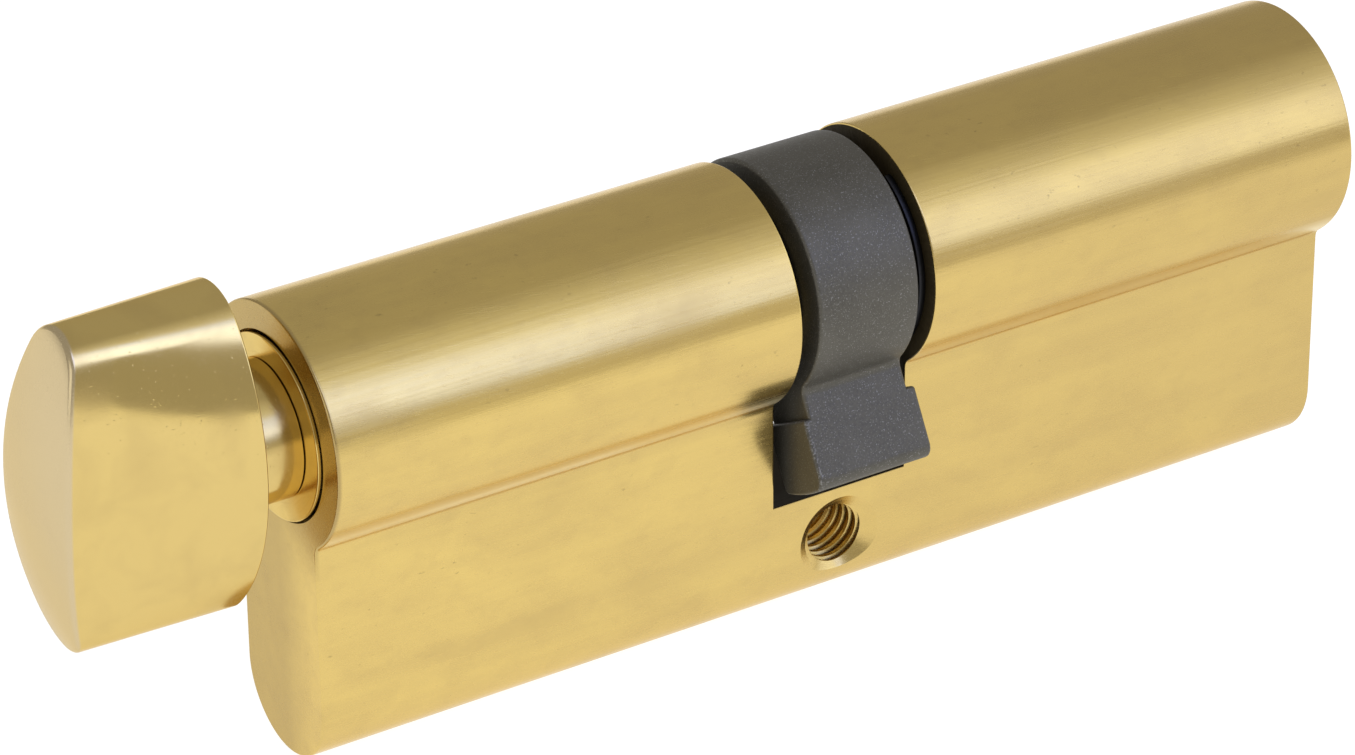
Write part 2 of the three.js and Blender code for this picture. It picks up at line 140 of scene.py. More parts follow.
CLIP_FROM, CLIP_TO = 4.75, 5.25
CLIP_INNER, CLIP_OUTER = 5.65, 7.4
CLIP_OPENING = 50
CLIP_EYELET = 0.4
CLIP_EYELET_TURN = 0.11  # radians from the clip's end
CLIP_EDGE = 0.06

CAM_FROM, CAM_TO = -3.85, 4.12
CAM_RADIUS = 8.36
CAM_BORE = 4.6
CAM_EDGE, BIT_EDGE = 0.28, 0.22
BIT_FROM, BIT_TO = -4.32, 4.72
BIT_START = 9.95
BIT_CORNERS = 0.9, 0.4
LEVER_THICKNESS = 5.1
LEVER_HOLLOW = 0.8
WING_WIDTH = 2.4
WING_ROOT, WING_REACH = 2, 5.9

CLUTCH_RADIUS = 4.55
CLUTCH_SLOT = 2.5, 8.0
CLUTCH_SLOT_DEPTH = 1.2
CLUTCH_POCKET = 1.9, 1.3
TURN_CLUTCH = -3.75, -0.75
KEY_CLUTCH = 1.15, 4.15
CLUTCH_SPRING = -2.05, 2.45

KNOB_BACK, KNOB_FRONT = -44.6, -58.05
KNOB_BACK_END, KNOB_FRONT_END = 4.0, 2.95
KNOB_EDGE, KNOB_BACK_EDGE = 0.28, 0.16
KNOB_DOME_TALL, KNOB_DOME_WIDE = 32.0, 22.0
KNOB_FRONT_RINGS = 0.93, 0.85, 0.75, 0.64, 0.52, 0.4, 0.28, 0.16, 0.06
NECK_RADIUS = 4.73
NECK_ROOT = 0.25
NECK_END = -40.85
NECK_END_ROUNDING = (0.07, 0), (0.02, 0.02), (0, 0.07)
GRUB_X = -42.7
GRUB_RADIUS = 1.5
GRUB_SOCKET = 0.85
GRUB_SUNK = 0.2
GRUB_EDGE = 0.15

PIN_X = (34.5, 30.5, 26.5, 22.5, 18.5)
KEY_PIN_LENGTHS = (2.3, 3.8, 3.0, 4.5, 2.7)
KEY_PIN_BOTTOM = -6.0
KEY_PIN_FOOT = (0, 0.4), (0.12, 0.16), (0.4, 0)
KEY_PIN_NOSE = (0.15, 0.6), (0.04, 0.42), (0, 0.25)
NOSE_GAP = 0.02
PIN_RADIUS = 1.45
PIN_BORE = 1.55
PIN_TIP = 0.5
PIN_STOP_RISE = 0.6
DRIVER_TOP, DRIVER_BOTTOM = -6.2, -11.7
DRIVER_RIM, DRIVER_WAIST = 1.1, 0.4
DRIVER_EDGE = 0.08
SPRING_BOTTOM = -21.2
SPRING_GAP = 0.02
PIN_COIL = 1.12, 0.17  # radii of the coil and of its wire
CLUTCH_COIL = 1.45, 0.2
CLOSED_PITCH = 2.1  # of the end turns, in wire radii
CHAMBER_PLUG = -24.2, -21.2
PRESS_GAP = 0.02

# ---- Colours and lacquer that stay as they are ----

WHITE = (1.0, 1.0, 1.0, 1.0)
GLANCING_BRASS = (0.88, 0.76, 0.5)
# painted light: a pale brass that brightens the crease between barrel and flange
PAINTED_LIGHT_BRASS = (0.95, 0.86, 0.58, 1.0)
GLARE_BRASS = (0.6, 0.49, 0.31, 1.0)
BRIGHT_GRAIN = (0.34, 0.33, 0.3, 1.0)
LACQUER, THIN_LACQUER = 0.5, 0.3


def mm(length):
    return length / MM


def metres(lengths):
    return [length * MM for length in lengths]


def sizes():
    return bpy.context.scene.lock_sizes


# ---- Drawing ----


AXES = {"X": Vector((1, 0, 0)), "Y": Vector((0, 1, 0)), "Z": Vector((0, 0, 1))}


def select_only(obj):
    bpy.ops.object.select_all(action="DESELECT")
    obj.select_set(True)
    bpy.context.view_layer.objects.active = obj


def edit(obj):
    select_only(obj)
    bpy.ops.object.mode_set(mode="EDIT")
    return bmesh.from_edit_mesh(obj.data)


def leave_edit():
    bpy.ops.object.mode_set(mode="OBJECT")
    return bpy.context.object


def close_up():
    """Joins corners that lie on each other and turns every face outwards."""
    bpy.ops.mesh.select_all(action="SELECT")
    bpy.ops.mesh.remove_doubles(threshold=SMALL / 10)
    bpy.ops.mesh.normals_make_consistent(inside=False)


def draw(points):
    """Draws a line in edit mode: one corner, pushed on to each next point."""
    bpy.ops.object.select_all(action="DESELECT")
    bpy.ops.mesh.primitive_plane_add(size=1)
    bpy.ops.object.mode_set(mode="EDIT")
    bpy.ops.mesh.merge(type="CENTER")
    bpy.ops.transform.translate(value=points[0])
    for here, there in pairwise(points):
        step = Vector(there) - Vector(here)
        bpy.ops.mesh.extrude_vertices_move(TRANSFORM_OT_translate={"value": step})
    bpy.ops.mesh.select_all(action="SELECT")


def slab(outline, push):
    """A closed outline filled and pushed out into a solid."""
    draw(outline)
    bpy.ops.mesh.edge_face_add()
    bpy.ops.mesh.extrude_region_move(TRANSFORM_OT_translate={"value": push})
    close_up()
    return leave_edit()


def slab_along_x(outline, start, end):
    return slab([(start, y, z) for y, z in outline], (end - start, 0, 0))


def spun(profile, axis="X", middle=(0, 0, 0), steps=96):
    """A profile of (distance along the axis, radius) spun all the way round the axis."""
    placed = {
        "X": lambda a, r: (a, 0, r),
        "Y": lambda a, r: (r, a, 0),
        "Z": lambda a, r: (r, 0, a),
    }[axis]
    draw([Vector(middle) + Vector(placed(a, r)) for a, r in profile])
    bpy.ops.mesh.spin(steps=steps, angle=2 * pi, center=middle, axis=AXES[axis])
    close_up()
    return leave_edit()


def block(low, high):
    """A box between two corners."""
    low, high = Vector(low), Vector(high)
    bpy.ops.object.select_all(action="DESELECT")
    bpy.ops.mesh.primitive_cube_add(size=1, location=(low + high) / 2, scale=high - low)
    bpy.ops.object.transform_apply(location=True, rotation=True, scale=True)
    return bpy.context.object


def rod(radius, start, end, axis="X", middle=(0, 0, 0), steps=48):
    """A plain cylinder along an axis."""
    turn = {"X": (0, pi / 2, 0), "Y": (pi / 2, 0, 0), "Z": (0, 0, 0)}[axis]
    bpy.ops.object.select_all(action="DESELECT")
    bpy.ops.mesh.primitive_cylinder_add(
        vertices=steps,
        radius=radius,
        depth=end - start,
        location=Vector(middle) + AXES[axis] * (start + end) / 2,
        rotation=turn,
    )
    bpy.ops.object.transform_apply(location=True, rotation=True, scale=True)
    return bpy.context.object


def turned_about_x(obj, angle):
    """Turns a solid about the plug axis."""
    obj.data.transform(Matrix.Rotation(angle, 4, "X"))
    return obj


def apply_modifier(obj, kind, **settings):
    select_only(obj)
    bpy.ops.object.modifier_add(type=kind)
    modifier = obj.modifiers[-1]
    for name, value in settings.items():
        setattr(modifier, name, value)
    bpy.ops.object.modifier_apply(modifier=modifier.name)
    return obj


def combined(obj, tool, operation):
    """Joins or cuts a solid with another, which is used up."""
    apply_modifier(obj, "BOOLEAN", operation=operation, solver="EXACT", object=tool)
    bpy.data.objects.remove(tool)
    edit(obj)
    close_up()
    return leave_edit()


def cut(obj, *tools):
    for tool in tools:
        combined(obj, tool, "DIFFERENCE")
    return obj


def welded(obj, *others):
    for other in others:
        combined(obj, other, "UNION")
    return obj


def soften(obj, width, segments=2, angle=30):
    """Rounds every edge sharper than the angle."""
    return apply_modifier(
        obj,
        "BEVEL",
        width=width,
        segments=segments,
        limit_method="ANGLE",
        angle_limit=radians(angle),
        miter_outer="MITER_ARC",
    )


def round_edges(obj, width, segments, chosen):
    """Rounds the edges that chosen picks."""
    mesh = edit(obj)
    bpy.ops.mesh.select_mode(type="EDGE")
    bpy.ops.mesh.select_all(action="DESELECT")
    for edge in mesh.edges:
        edge.select_set(bool(chosen(edge)))
    bmesh.update_edit_mesh(obj.data)
    bpy.ops.mesh.bevel(offset=width, segments=segments, profile=0.5, affect="EDGES")
    bpy.ops.mesh.select_mode(type="VERT")
    return leave_edit()


def sharp(edge, angle=35):
    return len(edge.link_faces) == 2 and edge.calc_face_angle() > radians(angle)


def near(value, *targets):
    return any(abs(value - target) < SMALL for target in targets)


def both_at(edge, axis, *places):
    """Whether an edge lies in one of the planes across an axis."""
    a, b = (vert.co[axis] for vert in edge.verts)
    return near(a, b) and near(a, *places)


def copied(obj, shift):
    """A copy with its own mesh, shifted in millimetres."""
    select_only(obj)
    bpy.ops.object.duplicate(linked=False)
    copy = bpy.context.object
    copy.data.transform(Matrix.Translation(shift))
    return copy


def in_row(first):
    """Numbers a piece made at the first pin chamber and its copies at the others."""
    others = [copied(first, (x - PIN_X[0], 0, 0)) for x in PIN_X[1:]]
    return enumerate([first, *others], 1)


def finish(obj, node, body, material, angle=32):
    """Brings a piece to metres, smooths it, and puts it in its CAD node's place.

    A piece with no body is not attached to one.
    """
    obj.name = obj.data.name = f"{node}.fine"
    obj.data.transform(Matrix.Scale(MM, 4))
    select_only(obj)
    bpy.ops.object.shade_smooth_by_angle(angle=radians(angle))
    apply_modifier(obj, "WEIGHTED_NORMAL", keep_sharp=True)
    obj.data.materials.clear()
    obj.data.materials.append(material())
    if body:
        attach(obj, body)
    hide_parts(node)
    return obj


def arc(middle_y, middle_z, radius, start, end, steps):
    """Points (y, z) on an arc between two angles in degrees."""
    angles = [radians(start + (end - start) * i / steps) for i in range(steps + 1)]
    return [(middle_y + radius * cos(a), middle_z + radius * sin(a)) for a in angles]


# ---- Finishes ----


def node(tree, kind, sockets=(), **settings):
    """Adds a shader node; a socket takes either a value or another node's output."""
    made = tree.nodes.new("ShaderNode" + kind)
    for key, value in settings.items():
        setattr(made, key, value)
    for name, value in dict(sockets).items():
        if isinstance(value, bpy.types.NodeSocket):
            tree.links.new(value, made.inputs[name])
        else:
            made.inputs[name].default_value = value
    return made


def placed(tree, cell, turn=(0, 0, 0)):
    """Object coordinates counted in cells of a size in millimetres, in a turned grid."""
    here = node(tree, "TexCoord").outputs["Object"]
    sockets = {"Vector": here, "Scale": metres(cell), "Rotation": [radians(a) for a in turn]}
    return node(tree, "Mapping", sockets, vector_type="TEXTURE").outputs["Vector"]


def noise(tree, cell, detail=2.0, turn=(0, 0, 0), distortion=0.0):
    sockets = {
        "Vector": placed(tree, cell, turn),
        "Scale": 1.0,
        "Detail": detail,
        "Distortion": distortion,
    }
    return node(tree, "TexNoise", sockets).outputs["Fac"]


def between(tree, value, low, high, to_low=0.0, to_high=1.0):
    sockets = {
        "Value": value,
        "From Min": low,
        "From Max": high,
        "To Min": to_low,
        "To Max": to_high,
    }
    return node(tree, "MapRange", sockets).outputs["Result"]


def maths(tree, operation, a, b):
    return node(tree, "Math", {0: a, 1: b}, operation=operation).outputs[0]


def summed(tree, total, *parts):
    for part in parts:
        total = maths(tree, "ADD", total, part)
    return total


def product(tree, total, *parts):
    for part in parts:
        total = maths(tree, "MULTIPLY", total, part)
    return total


def tint(tree, share, a, b):
    """From colour a to colour b as share goes from 0 to 1."""
    sockets = {"Factor": share, 6: a, 7: b}
    return node(tree, "Mix", sockets, data_type="RGBA").outputs[2]


def layered(tree, colour, *layers):
    """A colour with others laid over it in turn, each with its own share of the surface."""
    for share, other in layers:
        colour = tint(tree, share, colour, other)
    return colour


def bump(tree, height, depth, under=None):
    sockets = {"Height": height, "Strength": 1.0, "Distance": depth * MM}
    if under:
        sockets["Normal"] = under
    return node(tree, "Bump", sockets).outputs["Normal"]


def shaded(colour, share=1.0):
    """A colour made darker or brighter by a share, and opaque."""
    return (*[channel * share for channel in colour[:3]], 1.0)


def paint(name):
    """One of the colours that the user sets."""
    return tuple(getattr(bpy.context.scene.lock_colours, name))


def coordinates(tree):
    """The object coordinates, apart as X, Y and Z."""
    return node(tree, "SeparateXYZ", {0: node(tree, "TexCoord").outputs["Object"]}).outputs


def new_finish(name, metallic=1.0, glancing=(1.0, 1.0, 1.0), lacquer=0.0):
    """A metal, with the tint that its colour turns to at a glancing angle, and clear lacquer."""
    material = bpy.data.materials.new(name)
    material.use_nodes = True
    tree = material.node_tree
    shader = tree.nodes["Principled BSDF"]
    shader.inputs["Metallic"].default_value = metallic
    shader.inputs["Specular Tint"].default_value = (*glancing, 1.0)
    shader.inputs["Coat Weight"].default_value = lacquer
    shader.inputs["Coat Roughness"].default_value = 0.22
    shader.inputs["Coat IOR"].default_value = 1.5
    return material, tree


def dressed(material, colour, rough, normal, more=()):
    """Joins a finish's patterns to its shader."""
    inputs = material.node_tree.nodes["Principled BSDF"].inputs
    joins = {"Base Color": colour, "Roughness": rough, "Normal": normal, **dict(more)}
    for name, socket in joins.items():
        material.node_tree.links.new(socket, inputs[name])
    return material


def made_once(build):
    """Builds a material the first time that it is asked for."""
    made = []

    def get():
        if not made:
            made.append(build())
        return made[0]

    return get


def off_axis(tree):
    """Distance from the plug axis."""
    here = node(tree, "TexCoord").outputs["Object"]
    flat = node(tree, "VectorMath", {0: here, 1: (0.0, 1.0, 1.0)}, operation="MULTIPLY").outputs[0]
    return node(tree, "VectorMath", {0: flat}, operation="LENGTH").outputs["Value"]


def along_radius(tree, cell):
    """Rings about the plug axis, as turning leaves them on a face."""
    sockets = {"W": off_axis(tree), "Scale": 1 / (cell * MM), "Detail": 3.0}
    return node(tree, "TexNoise", sockets, noise_dimensions="1D").outputs["Fac"]


def recess_painted_shade(tree, x):
    """1 on the walls and floor of the cam recess, where dark brass is painted as shade, else 0."""
    half = mm(sizes().recess_width) / 2 + RECESS_SKIN
    within = maths(tree, "LESS_THAN", maths(tree, "ABSOLUTE", x, 0.0), half * MM)
    return product(tree, within, maths(tree, "LESS_THAN", off_axis(tree), RECESS_REACH * MM))


def crease_painted_light(tree, here):
    """Painted light in the hollow between barrel and flange: pale brass, most of all on the
    thumbturn side.
    """
    return product(
        tree,
        between(tree, here["Z"], *metres(CREASE_FOOT)),
        between(tree, here["Z"], *metres(CREASE_TOP)),
        between(tree, here["X"], *metres(CREASE_ALONG), 0.95, 0.6),
        maths(tree, "GREATER_THAN", here["X"], BODY_LOW.x + CREASE_INSET * MM),
    )


def end_face_painted_shade(tree, here):
    """Painted shade on the thumbturn's end face: darker brass round the plug and on the half off
    the flank.
    """
    face = between(tree, here["X"], *[BODY_LOW.x + depth for depth in metres(SHADE_DEPTH)])
    round_plug = between(tree, here["Z"], *metres(SHADE_ROUND_PLUG), 0.0, 0.75)
    far_half = between(tree, here["Y"], *metres(SHADE_FAR_HALF), 0.0, 0.6)
    return product(tree, face, maths(tree, "MAXIMUM", round_plug, far_half))


@made_once
def satin_brass():
    """Drawn brass: lengthwise grain, cloudy tarnish and a few brown specks, with painted light in
    the crease and painted shade on the thumbturn end face and in the cam recess.
    """
    tarnish = paint("tarnish")
    material, tree = new_finish("satin_brass", glancing=GLANCING_BRASS, lacquer=LACQUER)
    grain = noise(tree, (30, 0.22, 0.22), 3.0)
    streaks = noise(tree, (60, 1.4, 1.4), 2.0)
    cloud = noise(tree, (9, 5, 5), 4.0, distortion=0.6)
    fine_cloud = noise(tree, (1.6, 1.1, 1.1), 3.0)
    scratch = noise(tree, (5, 0.07, 0.07), 1.0, turn=(0, 7, -9))
    speck = between(tree, noise(tree, (0.7, 0.45, 0.45), 2.0), 0.68, 0.78)
    patch = between(tree, noise(tree, (14, 9, 9), 2.0), 0.5, 0.62, 0.0, 0.5)
    here = coordinates(tree)
    crease_light, inside = crease_painted_light(tree, here), recess_painted_shade(tree, here["X"])
    colour = layered(
        tree,
        paint("brass"),
        (between(tree, cloud, 0.38, 0.72, 0.0, 0.3), tarnish),
        (between(tree, fine_cloud, 0.5, 0.85, 0.0, 0.22), tarnish),
        (between(tree, streaks, 0.45, 0.7, 0.0, 0.12), tarnish),
        (product(tree, speck, patch), shaded(tarnish, 0.35)),
        (between(tree, here["X"], -0.03, 0.04, 0.0, 0.38), tarnish),
        # painted shade: the thumbturn's end face darkened round the plug and on its far half
        (end_face_painted_shade(tree, here), shaded(tarnish, 0.8)),
        # painted light: the crease between barrel and flange made pale
        (crease_light, PAINTED_LIGHT_BRASS),
        # painted shade: the recess walls and floor made nearly black
        (inside, shaded(tarnish, 0.06)),
    )
    rough = summed(
        tree,
        between(tree, cloud, 0.35, 0.75, 0.2, 0.3),
        between(tree, grain, 0.3, 0.7, -0.03, 0.04),
        between(tree, scratch, 0.66, 0.74, 0.0, 0.1),
        product(tree, crease_light, 0.2),
        product(tree, inside, 0.45),
    )
    normal = bump(tree, scratch, 0.0015, bump(tree, grain, 0.006))
    # painted shade: the recess also loses its metal and lacquer shine, so it stays dark
    outside_recess_shade = maths(tree, "SUBTRACT", 1.0, inside)
    more = {"Metallic": outside_recess_shade, "Coat Weight": product(tree, outside_recess_shade, LACQUER)}
    return dressed(material, colour, rough, normal, more)


@made_once
def plug_brass():
    """Turned brass: fine rings about the plug axis."""
    material, tree = new_finish("plug_brass", glancing=GLANCING_BRASS, lacquer=LACQUER)
    rings = along_radius(tree, 0.12)
    cloud = noise(tree, (3, 2, 2), 3.0)
    dull = between(tree, cloud, 0.4, 0.75, 0.0, 0.3)
    colour = tint(tree, dull, paint("brass"), paint("tarnish"))
    rough = summed(
        tree,
        between(tree, cloud, 0.3, 0.7, 0.14, 0.22),
        between(tree, rings, 0.3, 0.7, -0.02, 0.04),
    )
    return dressed(material, colour, rough, bump(tree, rings, 0.003))


@made_once
def polished_brass():
    """Polished brass with hairline scratches, small pits and a hazy film, and a paler front face
    that is painted glare.
    """
    material, tree = new_finish("polished_brass", glancing=GLANCING_BRASS, lacquer=THIN_LACQUER)
    film = noise(tree, (4, 5, 5), 4.0, distortion=0.4)
    hairline = noise(tree, (2.5, 0.05, 0.05), 1.0, turn=(20, 12, 25))
    second = noise(tree, (0.05, 0.05, 3.0), 1.0, turn=(8, 10, 0))
    pit = noise(tree, (0.22, 0.22, 0.22), 1.0)
    here = coordinates(tree)
    depth = here["X"]
    for axis, dome in (("Y", KNOB_DOME_WIDE), ("Z", KNOB_DOME_TALL)):
        squared = maths(tree, "POWER", maths(tree, "ABSOLUTE", here[axis], 0.0), 2.0)
        depth = maths(tree, "SUBTRACT", depth, maths(tree, "DIVIDE", squared, 2 * dome * MM))
    # painted glare: the domed front face made paler and greyer
    front = between(tree, depth, (KNOB_FRONT + 0.35) * MM, (KNOB_FRONT + 0.2) * MM)
    colour = layered(
        tree,
        paint("knob"),
        (between(tree, film, 0.42, 0.75, 0.0, 0.3), paint("tarnish")),
        (product(tree, front, 0.8), GLARE_BRASS),
    )
    rough = summed(
        tree,
        between(tree, film, 0.35, 0.75, 0.1, 0.2),
        product(tree, front, 0.08),
        between(tree, hairline, 0.66, 0.72, 0.0, 0.08),
        between(tree, second, 0.66, 0.72, 0.0, 0.06),
    )
    pitted = bump(tree, between(tree, pit, 0.72, 0.8, 1.0, 0.0), 0.006)
    return dressed(material, colour, rough, bump(tree, hairline, 0.0008, pitted))


@made_once
def sintered_steel():
    """Steam-treated sintered steel: charcoal, with grains and small bright specks."""
    material, tree = new_finish("sintered_steel", metallic=0.6)
    dark = paint("cam")
    grains = noise(tree, (0.16, 0.16, 0.16), 3.0)
    patches = noise(tree, (3.5, 3.5, 3.5), 3.0)
    specks = noise(tree, (0.09, 0.09, 0.09), 0.0)
    x = coordinates(tree)["X"]
    chipped_edge = product(
        tree,
        between(tree, x, (BIT_FROM + 0.4) * MM, (BIT_FROM + 0.2) * MM),
        between(tree, x, (BIT_FROM + 0.02) * MM, (BIT_FROM + 0.1) * MM),
        between(tree, grains, 0.5, 0.62, 0.0, 0.6),
    )
    colour = layered(
        tree,
        dark,
        (between(tree, grains, 0.35, 0.7, 0.0, 0.5), shaded(dark, 1.8)),
        (between(tree, patches, 0.4, 0.7, 0.0, 0.4), shaded(dark, 1.6)),
        (between(tree, specks, 0.68, 0.76, 0.0, 0.5), BRIGHT_GRAIN),
        (chipped_edge, BRIGHT_GRAIN),
    )
    rough = between(tree, grains, 0.3, 0.7, 0.42, 0.6)
    return dressed(material, colour, rough, bump(tree, grains, 0.02))


def ground_metal(name, swatch, rough, grain_cell):
    """The finish of ground steel or nickel silver: a fine grain and faint clouds."""

    def build():
        material, tree = new_finish(name)
        bright = paint(swatch)
        grain = noise(tree, grain_cell, 3.0)
        cloud = noise(tree, (1.5, 1.5, 1.5), 3.0)
        dull = between(tree, cloud, 0.35, 0.75, 0.0, 0.4)
        roughness = between(tree, grain, 0.3, 0.7, rough - 0.06, rough + 0.08)
        colour = tint(tree, dull, bright, shaded(bright, 0.7))
        return dressed(material, colour, roughness, bump(tree, grain, 0.004))

    return made_once(build)


black_steel = ground_metal("black_steel", "black_steel", 0.4, (0.15, 0.15, 0.15))
clutch_steel = ground_metal("clutch_steel", "steel", 0.34, (0.2, 0.2, 0.2))
spring_steel = ground_metal("spring_steel", "steel", 0.24, (0.05, 0.05, 0.6))
nickel_silver = ground_metal("nickel_silver", "nickel_silver", 0.24, (1.0, 1.0, 0.08))


# ---- Housing ----


def cylinder_body():
    s = sizes()
    key_end, turn_end = mm(s.key_length), -mm(s.turn_length)
    barrel, half, bottom = mm(s.barrel_radius), mm(s.flange_width) / 2, -mm(s.flange_drop)
    recess, plug = mm(s.recess_width) / 2, mm(s.plug_radius)
    crease = degrees(asin(half / barrel))
    crease_z = -barrel * cos(radians(crease))
    outline = arc(0, 0, barrel, crease - 90, 270 - crease, 96)
    outline += arc(0, bottom + half, half, 180, 360, 40)
    body = slab_along_x(outline, turn_end, key_end)

    def at_end(edge):
        return both_at(edge, 0, turn_end, key_end)

    def in_crease(edge):
        there = all(near(v.co.z, crease_z) and near(abs(v.co.y), half) for v in edge.verts)
        return there and not at_end(edge)

    round_edges(body, CREASE_HOLLOW, 4, in_crease)
    round_edges(body, mm(s.edge_break), 3, at_end)

    shank, head = plug + PLUG_CLEARANCE, plug + HEAD_STEP + HEAD_GAP
    bore = [
        (turn_end - BEYOND, 0),
        (turn_end - BEYOND, head),
        (turn_end + HEAD_BORE_DEPTH, head),
        (turn_end + HEAD_BORE_DEPTH, shank),
        (key_end - HEAD_BORE_DEPTH, shank),
        (key_end - HEAD_BORE_DEPTH, head),
        (key_end + BEYOND, head),
        (key_end + BEYOND, 0),
    ]
    cutter = [(-recess, 0), (-recess, RECESS_RADIUS), (recess, RECESS_RADIUS), (recess, 0)]
    cut(body, spun(cutter, steps=160))
    cut(body, spun(bore, steps=96))
    for x in PIN_X:
        cut(body, rod(PIN_BORE, bottom - BEYOND, 0, "Z", (x, 0, 0), 32))
    round_edges(body, RECESS_RIM, 2, lambda edge: recess_rim(edge, recess, barrel, half))
    tap_screw_hole(body, half)
    return finish(body, "cylinder_body", "housing", satin_brass)


def recess_rim(edge, recess, barrel, half):
    """The outer edges of the cam recess, where a cutter leaves them sharp."""
    outside = all(
        near(abs(v.co.y), half) or hypot(v.co.y, v.co.z) > barrel - FIT for v in edge.verts
    )
    inside = all(abs(v.co.x) < recess + SMALL for v in edge.verts)
    return outside and inside and edge.is_convex and sharp(edge, 40)


def tap_screw_hole(body, half):
    """Drills, countersinks and taps the hole across the flange."""
    middle = (0, 0, -SCREW_DROP)
    mouth = 2 * SCREW_SINK_RADIUS - SCREW_TAP_RADIUS
    drill = [
        (-half - SCREW_SINK_DEPTH, 0),
        (-half - SCREW_SINK_DEPTH, mouth),
        (SCREW_SINK_DEPTH - half, SCREW_TAP_RADIUS),
        (half - SCREW_SINK_DEPTH, SCREW_TAP_RADIUS),
        (half + SCREW_SINK_DEPTH, mouth),
        (half + SCREW_SINK_DEPTH, 0),
    ]
    cut(body, spun(drill, "Y", middle, 64))
    start = -half - TAP_LEAD
    root, crest = SCREW_TAP_RADIUS - TOOTH_OVERLAP, SCREW_THREAD_RADIUS
    tooth = ((root, -TOOTH_ROOT), (crest, -TOOTH_CREST), (crest, TOOTH_CREST), (root, TOOTH_ROOT))
    draw([(x, start + y, -SCREW_DROP) for x, y in tooth])
    bpy.ops.mesh.edge_face_add()
    tap = leave_edit()
    tap.data.transform(Matrix.Translation((0, 0, SCREW_DROP)))
    wind(tap, "Y", SCREW_PITCH, round(2 * -start / SCREW_PITCH), 40)
    tap.data.transform(Matrix.Translation((0, 0, -SCREW_DROP)))
    cut(body, tap)


def wind(obj, axis, pitch, turns, steps):
    """Winds a closed section into a coil with the Screw modifier and closes its ends."""
    mesh = edit(obj)
    bmesh.ops.delete(mesh, geom=list(mesh.faces), context="FACES_ONLY")
    bmesh.update_edit_mesh(obj.data)
    leave_edit()
    apply_modifier(
        obj,
        "SCREW",
        axis=axis,
        angle=2 * pi,
        screw_offset=pitch,
        iterations=turns,
        steps=steps,
        render_steps=steps,
    )
    edit(obj)
    bpy.ops.mesh.select_mode(type="EDGE")
    bpy.ops.mesh.select_all(action="DESELECT")
    bpy.ops.mesh.select_non_manifold()
    bpy.ops.mesh.edge_face_add()
    bpy.ops.mesh.select_mode(type="VERT")
    close_up()
    return leave_edit()


def chamber_plugs():
    first = soften(rod(PIN_BORE - PRESS_GAP, *CHAMBER_PLUG, "Z", (PIN_X[0], 0, 0), 32), EDGE)
    for i, plug in in_row(first):
        finish(plug, f"chamber_plug_{i}", "housing", satin_brass)


# ---- Plugs ----


def plug_blank(inner, face, spindle_end=None):
    """A plug turned from its inner end to its head, on either side of the cam."""
    side = 1 if face > 0 else -1
    radius = mm(sizes().plug_radius)
    head = radius + HEAD_STEP
    profile = [
        (inner, 0),
        (inner, radius),
        (side * GROOVE_FROM, radius),
        (side * GROOVE_FROM, GROOVE_RADIUS),
        (side * GROOVE_TO, GROOVE_RADIUS),
        (side * GROOVE_TO, radius),
        (face - side * HEAD_LENGTH, radius),
        (face - side * HEAD_LENGTH, head),
        (face, head),
    ]
    if spindle_end is None:
        profile.append((face, 0))
    else:
        profile += [(face, SPINDLE_RADIUS), (spindle_end, SPINDLE_RADIUS), (spindle_end, 0)]
    return soften(spun(profile), EDGE)


def keyway_outline():
    """The keyway across the plug axis, narrowed by a ward on each side."""
    half, warded = KEYWAY_HALF, KEYWAY_WARDED
    return [
        (-half, 4.0),
        (-half, 1.8),
        (-warded, 1.4),
        (-warded, 0.4),
        (-half, 0.0),
        (-half, -4.4),
        (half, -4.4),
        (half, -2.6),
        (warded, -2.2),
        (warded, -1.2),
        (half, -0.8),
        (half, 4.0),
    ]


def key_plug():
    face = mm(sizes().key_length) + HEAD_PROUD
    plug = plug_blank(KEY_PLUG_INNER, face)
    cut(plug, slab_along_x(keyway_outline(), KEY_PLUG_INNER - BEYOND, face + BEYOND))
    top = KEY_PIN_BOTTOM + max(KEY_PIN_LENGTHS) + PIN_STOP_RISE
    shoulder = top - PIN_BORE + PIN_TIP
    bore = [(-CLEAR, 0), (-CLEAR, PIN_BORE), (shoulder, PIN_BORE), (top, PIN_TIP), (top, 0)]
    for x in PIN_X:
        cut(plug, spun(bore, "Z", (x, 0, 0), 32))
    return finish(plug, "key_plug", "key_side", plug_brass)


def thumbturn_plug():
    s = sizes()
    face = -mm(s.turn_length) - HEAD_PROUD
    end = face - SPINDLE_LENGTH
    plug = plug_blank(TURN_PLUG_INNER, face, end)
    flat_top = SPINDLE_FLAT - SPINDLE_RADIUS
    flat = block((end - BEYOND, -CLEAR, -2 * SPINDLE_RADIUS), (face - FIT, CLEAR, flat_top))
    cut(plug, turned_about_x(flat, s.knob_angle))
    thick, tall = TONGUE_HALVES
    tongue = block((TURN_PLUG_INNER - BEYOND, -thick, -tall), (TONGUE_END, thick, tall))
    welded(plug, turned_about_x(soften(tongue, TONGUE_EDGE), -s.lever_angle))
    return finish(plug, "thumbturn_plug", "turn_side", plug_brass)


